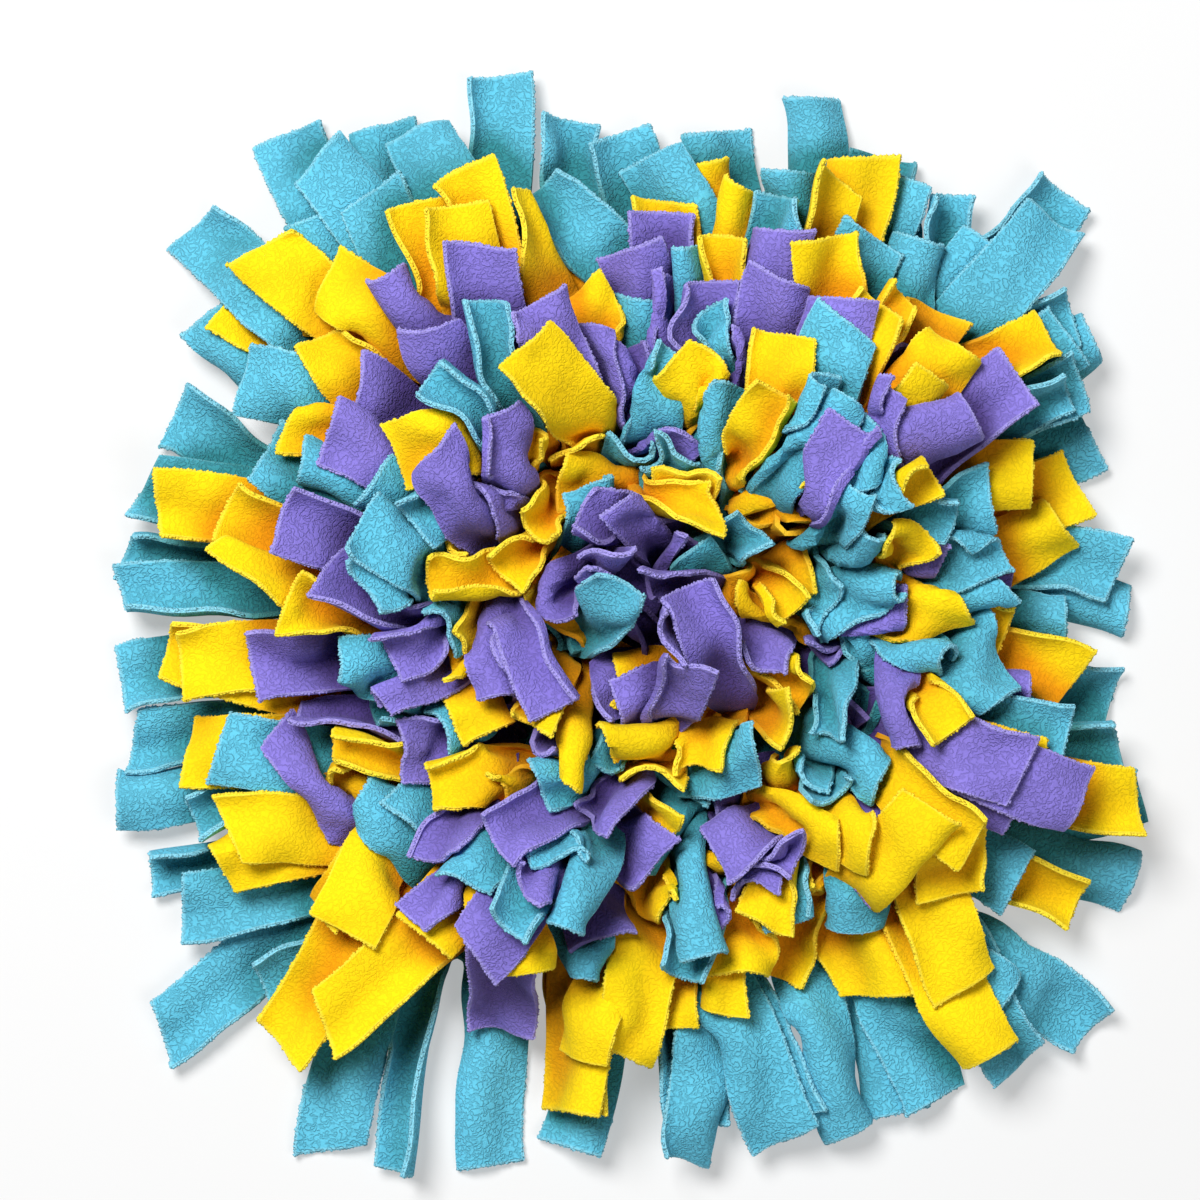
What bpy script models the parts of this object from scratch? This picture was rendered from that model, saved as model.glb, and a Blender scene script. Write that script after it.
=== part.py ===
"""Snuffle mat: a square base that holds a shaggy heap of fleece strips, two loose tails to a strip."""

import math

import bmesh
import bpy
import numpy as np
from mathutils import Matrix

MM = 0.001

# Driving dimensions, in metres
BASE_SIDE = 0.300
BASE_THICK = 0.004
BASE_CORNER = 0.025
STRIP_WIDTH = 0.033
FLEECE_THICK = 0.0024
GATHER_WIDTH = 0.015  # width of a strip where it is drawn in at its fixing
GATHER_SAG = 0.004  # depth of the valley there
GATHER_SHARE = 0.45  # share of a tail over which the gathers open out
TURN = 0.085  # how widely a strip swings from one tail into the other
SEAT_GAP = 0.0005  # between a strip and what it lies on
ROOM = 0.0015  # looseness that the heap keeps above each tail

# Mesh of a strip
TAIL_STEPS = 6
CROSS_STEPS = 2

# Height map of the heap
MAP_HALF = 0.270
MAP_CELL = 0.002
FACE_SAMPLES = 10
SETTLE_PASSES = 6
STIFFNESS = 0.5  # share of a lift that the cloth passes on across its width

COLLECTION = "snuffle_mat"

# name: base colour, roughness
FINISHES = {
    "teal": ((0.11, 0.52, 0.68), 0.95),
    "yellow": ((0.95, 0.66, 0.01), 0.95),
    "purple": ((0.27, 0.22, 0.66), 0.95),
}
BASE_FINISH = ((0.05, 0.045, 0.045), 0.8)

# Each strip in the order in which it is laid, outermost first. Millimetres and degrees, from the
# middle of the mat, +Y away from the front edge.
#   root: where the strip is fixed to the base
#   tail: tip x, tip y, rise of the tip, bow of the middle, cup of the tip, lean
# A cup above 0 turns the long edges up, below 0 down. A lean above 0 lifts the edge on the left,
# looking from the root to the tip.
STRIPS = (
    ("teal", (-42, 145), (-58, 244, 4, 8, 1, 0), (-24, 224, 0, 3, 0, 0)),
    ("teal", (38, 135), (-7, 217, 2, 4, 0, 0), (40, 219, 4, 5, -2, 8)),
    ("teal", (102, 138), (82, 234, 5, 9, -2, 0), (114, 208, 0, 3, 0, 0)),
    ("teal", (143, 105), (194, 192, 1, 4, 1, 10), (207, 125, 1, 3, 0, 0)),
    ("teal", (137, 38), (208, 82, 1, 4, 0, 0), (224, 4, 4, 4, -7, 0)),
    ("teal", (140, -118), (230, -77, 5, 4, 3, 35), (208, -184, 1, 5, 0, 0)),
    ("teal", (118, -128), (174, -197, 2, 5, 0, -18), (137, -216, 1, 4, 1, 0)),
    ("teal", (58, -145), (98, -230, 2, 8, -4, 0), (23, -242, 0, 3, 0, -50)),
    ("teal", (12, -143), (72, -233, 1, 4, 0, 0), (-27, -236, 1, 4, 0, 25)),
    ("teal", (-76, -145), (-62, -245, 1, 6, -2, 0), (-103, -247, 2, 6, 3, 52)),
    ("teal", (-125, -140), (-134, -238, 1, 5, 2, 10), (-209, -186, 1, 5, 0, 0)),
    ("teal", (-132, -82), (-214, -112, 3, 4, 5, -38), (-229, -78, 2, 5, 0, 20)),
    ("teal", (-136, 6), (-227, -28, 1, 4, 0, 0), (-225, 30, 3, 5, 5, -18)),
    ("teal", (-133, 62), (-204, 92, 1, 5, 0, 0), (-187, 138, 4, 6, 0, 0)),
    ("teal", (-122, 122), (-195, 178, 4, 6, 2, -22), (-153, 218, 1, 5, -1, 0)),
    ("teal", (-86, 124), (-112, 221, 1, 5, 0, 0), (-60, 186, 8, 8, 3, 20)),
    ("teal", (-49, 110), (-138, 207, 4, 5, 0, 0), (-94, 218, 4, 6, 0, 0)),
    ("teal", (108, 112), (121, 198, 4, 6, 0, 28), (163, 167, 7, 8, 0, 0)),
    ("teal", (128, 84), (191, 180, 6, 6, 0, 0), (197, 126, 7, 7, 0, 0)),
    ("teal", (119, 52), (200, 108, 6, 5, 5, 0), (219, 22, 2, 5, 0, 0)),
    ("teal", (125, -12), (195, -5, 1, 4, 0, 0), (217, -35, 1, 4, 0, 0)),
    ("teal", (137, -78), (217, -52, 3, 4, 3, 25), (226, -118, 1, 4, 0, 0)),
    ("teal", (-103, -126), (-162, -165, 5, 6, 0, 0), (-199, -129, 3, 7, -2, 0)),
    ("teal", (-122, 30), (-226, 12, 3, 5, 5, 30), (-217, 60, 1, 4, 0, 0)),
    ("yellow", (117, -78), (225, -81, 6, 5, 0, 0), (200, -126, 6, 7, 4, 0)),
    ("yellow", (109, 22), (201, 60, 7, 6, 0, 0), (199, -26, 8, 7, 0, 0)),
    ("yellow", (97, 97), (105, 205, 9, 8, 0, 12), (186, 126, 9, 7, 2, -38)),
    ("yellow", (56, 119), (30, 203, 16, 10, -7, 0), (92, 195, 10, 8, 3, 40)),
    ("yellow", (-28, 92), (-76, 197, 10, 8, 0, 0), (-21, 172, 14, 9, 0, 0)),
    ("yellow", (-96, 89), (-163, 165, 9, 8, 0, 0), (-163, 111, 10, 8, 0, 0)),
    ("yellow", (-102, 55), (-208, 51, 7, 6, 0, 0), (-133, 128, 15, 9, 0, 0)),
    ("yellow", (-108, 5), (-199, -20, 8, 6, 0, 0), (-177, 48, 12, 8, 0, 0)),
    ("yellow", (-105, -75), (-178, -92, 9, 8, 0, 0), (-196, -59, 6, 6, 0, 0)),
    ("yellow", (-85, -108), (-155, -189, 6, 7, 0, 20), (-90, -148, 16, 13, 2, 0)),
    ("yellow", (-44, -122), (-134, -178, 8, 7, 0, 0), (-10, -153, 14, 10, 0, 0)),
    ("yellow", (4, -109), (-27, -219, 5, 7, 0, 35), (16, -181, 10, 9, 0, 0)),
    ("yellow", (90, -101), (160, -193, 7, 7, 0, 0), (112, -166, 12, 12, -5, 0)),
    ("yellow", (98, -71), (149, -162, 12, 9, 0, 0), (81, -118, 34, 14, 11, 0)),
    ("yellow", (93, 73), (178, 64, 14, 10, 0, 0), (135, 137, 15, 10, 0, 0)),
    ("purple", (104, -42), (177, -35, 17, 10, 0, 30), (171, -77, 17, 10, 0, 0)),
    ("purple", (82, -49), (198, -79, 11, 8, 0, 0), (128, -98, 30, 16, 9, 20)),
    ("purple", (80, 59), (170, 107, 16, 10, 0, 0), (125, 118, 24, 12, 6, 0)),
    ("purple", (34, 88), (2, 164, 20, 10, 3, 0), (67, 151, 20, 12, -3, 0)),
    ("purple", (-70, 84), (-65, 164, 18, 10, 0, 0), (-119, 102, 22, 12, 0, 0)),
    ("purple", (-62, 58), (-88, 128, 23, 12, 0, 0), (-132, 84, 18, 9, 0, 0)),
    ("purple", (-80, 5), (-166, -20, 15, 10, 0, 0), (-151, 45, 18, 10, 0, 0)),
    ("purple", (-38, -92), (-56, -183, 8, 8, 0, 14), (-13, -143, 22, 14, -3, 0)),
    ("purple", (-3, -73), (-68, -147, 20, 12, 0, 0), (40, -138, 28, 14, -12, 0)),
    ("purple", (68, 40), (146, 88, 26, 14, -3, 0), (142, 20, 30, 14, 0, 55)),
    ("teal", (44, 55), (96, 130, 30, 14, 0, 0), (30, 106, 38, 14, 0, 0)),
    ("teal", (-50, 25), (-118, 12, 34, 14, 0, 0), (-112, 60, 32, 14, -7, 0)),
    ("teal", (-50, -36), (-96, -90, 27, 12, 0, 0), (-108, -36, 38, 14, 0, 0)),
    ("teal", (2, -54), (-50, -135, 28, 12, 8, 0), (34, -150, 26, 12, -4, 0)),
    ("teal", (48, -30), (104, 5, 36, 12, 0, 40), (92, -74, 34, 12, 0, 0)),
    ("yellow", (32, 12), (20, 64, 56, 12, 5, 0), (72, 46, 54, 12, -6, 0)),
    ("yellow", (-21, 34), (-66, 42, 56, 12, 5, 0), (-24, 80, 52, 12, -7, 0)),
    ("yellow", (24, -22), (70, -42, 56, 12, 6, 0), (8, -66, 52, 12, -5, 0)),
    ("purple", (-18, -14), (-56, -14, 62, 12, -9, 0), (-32, -54, 58, 12, 8, 0)),
    ("purple", (-2, 1), (26, -4, 78, 8, 7, 0), (-8, 28, 78, 8, -7, 0)),
)


def material(name, colour, roughness):
    made = bpy.data.materials.new(name)
    made.use_nodes = True
    shader = made.node_tree.nodes["Principled BSDF"]
    shader.inputs["Base Color"].default_value = (*colour, 1.0)
    shader.inputs["Roughness"].default_value = roughness
    shader.inputs["Metallic"].default_value = 0.0
    return made


def new_object(name, finish, collection):
    mesh = bpy.data.meshes.new(name)
    made = bpy.data.objects.new(name, mesh)
    mesh.materials.append(finish)
    collection.objects.link(made)
    return made


def make_base(finish, collection):
    """The square base with rounded corners, lying on the ground."""
    base = new_object("base_mat", finish, collection)
    bm = bmesh.new()
    bmesh.ops.create_cube(bm, size=1.0)
    bmesh.ops.scale(bm, vec=(BASE_SIDE, BASE_SIDE, BASE_THICK), verts=bm.verts)
    bmesh.ops.translate(bm, vec=(0, 0, BASE_THICK / 2), verts=bm.verts)
    upright = [e for e in bm.edges if abs(e.verts[0].co.z - e.verts[1].co.z) > BASE_THICK / 2]
    bmesh.ops.bevel(bm, geom=upright, offset=BASE_CORNER, segments=6, profile=0.5, affect="EDGES")
    bm.to_mesh(base.data)
    bm.free()
    return base


class Heap:
    """Height of what is already laid, on a grid of square cells."""

    def __init__(self):
        self.count = round(2 * MAP_HALF / MAP_CELL)
        middles = (np.arange(self.count) + 0.5) * MAP_CELL - MAP_HALF
        x, y = np.meshgrid(middles, middles, indexing="ij")
        on_base = np.maximum(np.abs(x), np.abs(y)) < BASE_SIDE / 2
        self.height = np.where(on_base, BASE_THICK, 0.0)

    def cells(self, points):
        index = ((points[..., :2] + MAP_HALF) / MAP_CELL).astype(int)
        index = np.clip(index, 1, self.count - 2)
        return index[..., 0], index[..., 1]

    def under(self, points):
        """The highest surface in the cell of each point and in the eight cells around it."""
        i, j = self.cells(points)
        around = [self.height[i + di, j + dj] for di in (-1, 0, 1) for dj in (-1, 0, 1)]
        return np.max(around, axis=0)

    def add(self, points, room):
        np.maximum.at(self.height, self.cells(points), points[..., 2] + room)


def smooth_step(value):
    value = np.clip(value, 0.0, 1.0)
    return value * value * (3.0 - 2.0 * value)


def tail_points(root, side, tail):
    """One tail from root to tip: rows along it, points across it, in the form it takes by itself."""
    tip_x, tip_y, rise, bow, cup, lean = tail
    reach = np.array((tip_x, tip_y)) * MM - root
    u = np.linspace(0.0, 1.0, TAIL_STEPS + 1)[:, None]
    plan = root + TURN * side * u * (1 - u) ** 2 + reach * (2 * u**2 - u**3)
    along = TURN * side * (1 - u) * (1 - 3 * u) + reach * (4 * u - 3 * u**2)
    along /= np.linalg.norm(along, axis=1, keepdims=True)
    across = np.stack((-along[:, 1], along[:, 0]), axis=1)

    opened = smooth_step(u / GATHER_SHARE)
    sag = GATHER_SAG * (1 - opened) + cup * MM * opened
    width = GATHER_WIDTH * (1 - opened) + STRIP_WIDTH * opened
    half = 0.5 * (width - 8 * sag**2 / (3 * width))
    turn = math.radians(lean) * smooth_step(u)
    t = np.linspace(-1.0, 1.0, CROSS_STEPS + 1)[None, :]
    sideways, upwards = half * t, sag * t**2
    shift = sideways * np.cos(turn) - upwards * np.sin(turn)
    lift = sideways * np.sin(turn) + upwards * np.cos(turn)
    centre = rise * MM * u**1.5 + bow * MM * 4 * u * (1 - u)
    flat = plan[:, None, :] + across[:, None, :] * shift[..., None]
    return np.concatenate((flat, (centre + lift)[..., None]), axis=2)


def strip_points(root, first, second):
    """Rows of points from one tip through the root to the other tip."""
    root = np.array(root) * MM
    outwards = (np.array(first[:2]) + np.array(second[:2])) / 2 * MM - root
    side = np.array((-outwards[1], outwards[0])) / np.linalg.norm(outwards)
    side *= np.sign(side @ (np.array(second[:2]) - np.array(first[:2])))
    to_first = tail_points(root, -side, first)
    to_second = tail_points(root, side, second)
    return np.concatenate((to_first[:0:-1, ::-1], to_second))


def sides_of(grid):
    """The lower and upper surfaces of the cloth whose lower surface is this grid."""
    normal = np.cross(np.gradient(grid, axis=0), np.gradient(grid, axis=1))
    normal /= np.linalg.norm(normal, axis=2, keepdims=True)
    normal *= np.sign(normal[..., 2:].mean())
    return grid, grid + normal * FLEECE_THICK


def face_samples(grid, weights):
    """Points all over each face: faces along, faces across, points, xyz."""
    corners = np.stack((grid[:-1, :-1], grid[1:, :-1], grid[1:, 1:], grid[:-1, 1:]), axis=2)
    return weights @ corners


def corner_weights():
    """How much each corner of a face carries at each sample, for either way of splitting the face."""
    steps = np.linspace(0.0, 1.0, FACE_SAMPLES)
    s, t = np.meshgrid(steps, steps)
    s = s.reshape(-1, 1)
    t = t.reshape(-1, 1)
    none = np.zeros_like(s)
    one_way = (1 - np.maximum(s, t), np.maximum(s - t, none), np.minimum(s, t), np.maximum(t - s, none))
    near = np.hstack((1 - s - t, s, none, t))
    far = np.hstack((none, 1 - t, s + t - 1, 1 - s))
    other_way = np.where(s + t <= 1, near, far)
    return np.concatenate((np.hstack(one_way), other_way))


def settle(grid, heap):
    """Raises the grid until the cloth lies clear of the heap."""
    weights = corner_weights()
    share = weights / (weights**2).sum(axis=1, keepdims=True)
    for number in range(SETTLE_PASSES):
        need = np.zeros(grid.shape[:2])
        pull = share if number < SETTLE_PASSES - 1 else (weights > 0).astype(float)
        for surface in sides_of(grid):
            points = face_samples(surface, weights)
            short = np.maximum(heap.under(points) + SEAT_GAP - points[..., 2], 0.0)
            lifts = (short[..., None] * pull).max(axis=2)
            for corner, (i, j) in enumerate(((0, 0), (1, 0), (1, 1), (0, 1))):
                part = need[i : i + lifts.shape[0], j : j + lifts.shape[1]]
                np.maximum(part, lifts[..., corner], out=part)
        need = np.maximum(need, STIFFNESS * need.max(axis=1, keepdims=True))
        grid[..., 2] += need
    return grid


def lay_on(grid, heap):
    """Adds the settled cloth to the heap, with a little room above its tails."""
    rows = np.arange(grid.shape[0] - 1) + 0.5
    from_root = np.abs(rows - (grid.shape[0] - 1) / 2) / TAIL_STEPS
    room = ROOM * smooth_step(from_root / GATHER_SHARE)[:, None, None]
    for surface in sides_of(grid):
        points = face_samples(surface, corner_weights())
        heap.add(points, np.broadcast_to(room, points.shape[:3]))


def make_strip(name, grid, finish, collection):
    """A grid bent to the settled points, given the thickness of the fleece."""
    strip = new_object(name, finish, collection)
    rows, columns = grid.shape[:2]
    bm = bmesh.new()
    bmesh.ops.create_grid(bm, x_segments=columns - 1, y_segments=rows - 1, size=0.5)
    for vertex in bm.verts:
        row = round((vertex.co.y + 0.5) * (rows - 1))
        column = round((vertex.co.x + 0.5) * (columns - 1))
        vertex.co = grid[row, column]
    bmesh.ops.recalc_face_normals(bm, faces=bm.faces)
    if sum(face.normal.z * face.calc_area() for face in bm.faces) < 0:
        bmesh.ops.reverse_faces(bm, faces=bm.faces)
    bm.to_mesh(strip.data)
    bm.free()
    strip.data.shade_smooth()
    wall = strip.modifiers.new("thickness", "SOLIDIFY")
    wall.thickness = FLEECE_THICK
    wall.offset = 1.0
    return strip


def centre_footprint(made):
    """Moves every mesh so that the middle of the whole footprint is at x = y = 0."""
    depsgraph = bpy.context.evaluated_depsgraph_get()
    corners = np.array([corner[:] for one in made for corner in one.evaluated_get(depsgraph).bound_box])
    middle = (corners.min(axis=0) + corners.max(axis=0)) / 2
    for one in made:
        one.data.transform(Matrix.Translation((-middle[0], -middle[1], 0.0)))


def main():
    for old in list(bpy.data.objects):
        bpy.data.objects.remove(old)
    collection = bpy.data.collections.new(COLLECTION)
    bpy.context.scene.collection.children.link(collection)
    finishes = {name: material(name + "_fleece", *look) for name, look in FINISHES.items()}
    made = [make_base(material("base_rubber", *BASE_FINISH), collection)]

    heap = Heap()
    count = dict.fromkeys(FINISHES, 0)
    for colour, root, first, second in STRIPS:
        grid = settle(strip_points(root, first, second), heap)
        lay_on(grid, heap)
        count[colour] += 1
        name = f"{colour}_strip_{count[colour]:02d}"
        made.append(make_strip(name, grid, finishes[colour], collection))
    centre_footprint(made)


main()
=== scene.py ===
# %% [markdown]
# # A snuffle mat made of fleece strips
#
# A snuffle mat is a toy for a dog: strips of fleece are tied to a flat base until they make a thick,
# shaggy heap, and dry food is hidden between them. This lesson dresses the plain solids of the mat
# as real fleece. Each strip is one rectangle of cloth, fixed at its middle, so it has two loose tails.
#
# The solids come in first, as a fixed frame. Everything that follows is placed from them.

# %% Load the frame
import math

import bmesh
import bpy
import numpy as np
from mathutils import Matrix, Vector


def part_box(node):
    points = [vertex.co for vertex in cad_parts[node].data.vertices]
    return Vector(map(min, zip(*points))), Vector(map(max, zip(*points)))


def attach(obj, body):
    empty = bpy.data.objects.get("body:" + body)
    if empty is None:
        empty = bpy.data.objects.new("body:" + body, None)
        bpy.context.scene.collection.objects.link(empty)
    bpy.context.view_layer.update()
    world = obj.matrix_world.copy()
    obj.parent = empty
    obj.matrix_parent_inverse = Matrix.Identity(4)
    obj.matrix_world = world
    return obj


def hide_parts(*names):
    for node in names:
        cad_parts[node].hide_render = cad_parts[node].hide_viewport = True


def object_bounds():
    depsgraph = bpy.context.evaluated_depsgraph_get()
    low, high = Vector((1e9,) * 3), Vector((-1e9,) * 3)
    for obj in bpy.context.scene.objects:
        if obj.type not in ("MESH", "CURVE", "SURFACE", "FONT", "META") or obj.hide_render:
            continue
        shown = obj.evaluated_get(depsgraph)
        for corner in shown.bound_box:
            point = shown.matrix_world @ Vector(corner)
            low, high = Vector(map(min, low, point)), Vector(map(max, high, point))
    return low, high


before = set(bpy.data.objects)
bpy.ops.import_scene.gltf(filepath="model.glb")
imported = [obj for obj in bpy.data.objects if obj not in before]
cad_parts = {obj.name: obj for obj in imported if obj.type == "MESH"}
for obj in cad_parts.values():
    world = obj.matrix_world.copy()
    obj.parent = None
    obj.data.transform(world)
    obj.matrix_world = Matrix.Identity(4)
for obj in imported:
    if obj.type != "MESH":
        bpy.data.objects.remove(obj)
CAD_LOW, CAD_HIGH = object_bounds()
print("solids:", len(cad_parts), "height", round(CAD_HIGH.z, 4))

# %% [markdown]
# ## Sizes
#
# The mat's own sizes are named once. They are the sizes of the solids: the strips are cut 33 mm wide
# from fleece a little over 2 mm thick. The base isn't in the middle of the footprint, because the
# tails reach further on one side, so the shift between the two is read from the base's own solid.

# %% Named sizes
MM = 0.001
STRIP_WIDTH = 33 * MM
FLEECE_THICK = 2.3 * MM
BASE_THICK = 4 * MM
GATHER_WIDTH = 15 * MM  # a strip is drawn in at its fixing
GATHER_SHARE = 0.45  # share of a tail over which the gathers open out
GATHER_SAG = 4 * MM  # how far a gathered strip sags between its edges
TURN = 85 * MM  # how widely a strip swings from one tail into the other
SINGLE_TURN = 30 * MM  # how widely a single tail swings at its fixing, at most

base_low, base_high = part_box("base_mat")
BASE_MIDDLE = np.array((base_low + base_high)[:2]) / 2
BASE_SIDE = base_high.x - base_low.x
print("base", round(BASE_SIDE, 4), "its middle", BASE_MIDDLE.round(4))

# %% [markdown]
# ## The plan of the heap
#
# The heap looks random, but it has a plan: teal lies flat at the outside, yellow comes next, purple
# further in, and in the middle all three stand up and curl. Two tables hold the plan. The first has
# the strips that also have a solid, both tails of each. The second has the single tails between them.
# A cup above 0 turns the long edges of a tail up, below 0 down. A lean above 0 lifts the edge on the
# left, looking from the fixing to the tip; near 70 degrees the tail stands on its edge.

# %% The strips that have a solid, in the order in which they are laid
# colour, (fixing x, y), (tip x, y, cup, lean), (the same for the other tail): millimetres, degrees
STRIPS = (
    ("teal", (-42, 145), (-58, 244, 1, 0), (-24, 224, 0, 0)),
    ("teal", (38, 135), (-7, 217, 0, 0), (40, 219, -2, 8)),
    ("teal", (102, 138), (82, 234, -2, 0), (114, 208, 0, 0)),
    ("teal", (143, 105), (194, 192, 1, 10), (207, 125, 0, 0)),
    ("teal", (137, 38), (208, 82, 0, 0), (224, 4, -7, 0)),
    ("teal", (140, -118), (230, -77, 3, 35), (208, -184, 0, 0)),
    ("teal", (118, -128), (174, -197, 0, -18), (137, -216, 1, 0)),
    ("teal", (58, -145), (98, -230, -4, 0), (23, -242, 0, -50)),
    ("teal", (12, -143), (72, -233, 0, 0), (-27, -236, 0, 25)),
    ("teal", (-76, -145), (-62, -245, -2, 0), (-103, -247, 3, 52)),
    ("teal", (-125, -140), (-134, -238, 2, 10), (-209, -186, 0, 0)),
    ("teal", (-132, -82), (-214, -112, 5, -38), (-229, -78, 0, 20)),
    ("teal", (-136, 6), (-227, -28, 0, 0), (-225, 30, 5, -18)),
    ("teal", (-133, 62), (-204, 92, 0, 0), (-187, 138, 0, 0)),
    ("teal", (-122, 122), (-195, 178, 2, -22), (-153, 218, -1, 0)),
    ("teal", (-86, 124), (-112, 221, 0, 0), (-60, 186, 3, 20)),
    ("teal", (-49, 110), (-138, 207, 0, 0), (-94, 218, 0, 0)),
    ("teal", (108, 112), (121, 198, 0, 28), (163, 167, 0, 0)),
    ("teal", (128, 84), (191, 180, 0, 0), (197, 126, 0, 0)),
    ("teal", (119, 52), (200, 108, 5, 0), (219, 22, 0, 0)),
    ("teal", (125, -12), (195, -5, 0, 0), (217, -35, 0, 0)),
    ("teal", (137, -78), (217, -52, 3, 25), (226, -118, 0, 0)),
    ("teal", (-103, -126), (-162, -165, 0, 0), (-199, -129, -2, 0)),
    ("teal", (-122, 30), (-226, 12, 5, 30), (-217, 60, 0, 0)),
    ("yellow", (117, -78), (225, -81, 0, 0), (200, -126, 4, 0)),
    ("yellow", (109, 22), (201, 60, 0, 0), (199, -26, 0, 0)),
    ("yellow", (97, 97), (105, 205, 0, 12), (186, 126, 2, -38)),
    ("yellow", (56, 119), (30, 203, -7, 0), (92, 195, 3, 40)),
    ("yellow", (-28, 92), (-76, 197, 0, 0), (-21, 172, 0, 0)),
    ("yellow", (-96, 89), (-163, 165, 0, 0), (-163, 111, 0, 0)),
    ("yellow", (-102, 55), (-208, 51, 0, 0), (-133, 128, 0, 0)),
    ("yellow", (-108, 5), (-199, -20, 0, 0), (-177, 48, 0, 0)),
    ("yellow", (-105, -75), (-178, -92, 0, 0), (-196, -59, 0, 0)),
    ("yellow", (-85, -108), (-155, -189, 0, 20), (-90, -148, 2, 0)),
    ("yellow", (-44, -122), (-134, -178, 0, 0), (-10, -153, 0, 0)),
    ("yellow", (4, -109), (-27, -219, 0, 35), (16, -181, 0, 0)),
    ("yellow", (90, -101), (160, -193, 0, 0), (112, -166, -5, 0)),
    ("yellow", (98, -71), (149, -162, 0, 0), (81, -118, 11, 0)),
    ("yellow", (93, 73), (178, 64, 0, 0), (135, 137, 0, 0)),
    ("purple", (104, -42), (177, -35, 0, 30), (171, -77, 0, 0)),
    ("purple", (82, -49), (198, -79, 0, 0), (128, -98, 9, 20)),
    ("purple", (80, 59), (170, 107, 0, 0), (125, 118, 6, 0)),
    ("purple", (34, 88), (2, 164, 3, 0), (67, 151, -3, 0)),
    ("purple", (-70, 84), (-65, 164, 0, 0), (-119, 102, 0, 0)),
    ("purple", (-62, 58), (-88, 128, 0, 0), (-132, 84, 0, 0)),
    ("purple", (-80, 5), (-166, -20, 0, 0), (-151, 45, 0, 0)),
    ("purple", (-38, -92), (-56, -183, 0, 14), (-13, -143, -3, 0)),
    ("purple", (-3, -73), (-68, -147, 0, 0), (40, -138, -12, 0)),
    ("purple", (68, 40), (146, 88, -3, 0), (142, 20, 0, 55)),
    ("teal", (44, 55), (96, 130, 0, 0), (30, 106, 0, 0)),
    ("teal", (-50, 25), (-118, 12, 0, 0), (-112, 60, -7, 0)),
    ("teal", (-50, -36), (-96, -90, 0, 0), (-108, -36, 0, 0)),
    ("teal", (2, -54), (-50, -135, 8, 0), (34, -150, -4, 0)),
    ("teal", (48, -30), (104, 5, 0, 40), (92, -74, 0, 0)),
    ("yellow", (32, 12), (20, 64, 5, 0), (72, 46, -6, 0)),
    ("yellow", (-21, 34), (-66, 42, 5, 0), (-24, 80, -7, 0)),
    ("yellow", (24, -22), (70, -42, 6, 0), (8, -66, -5, 0)),
    ("purple", (-18, -14), (-56, -14, -9, 0), (-32, -54, 8, 0)),
    ("purple", (-2, 1), (26, -4, 7, 0), (-8, 28, -7, 0)),
)
print(len(STRIPS), "strips with two tails")

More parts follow.
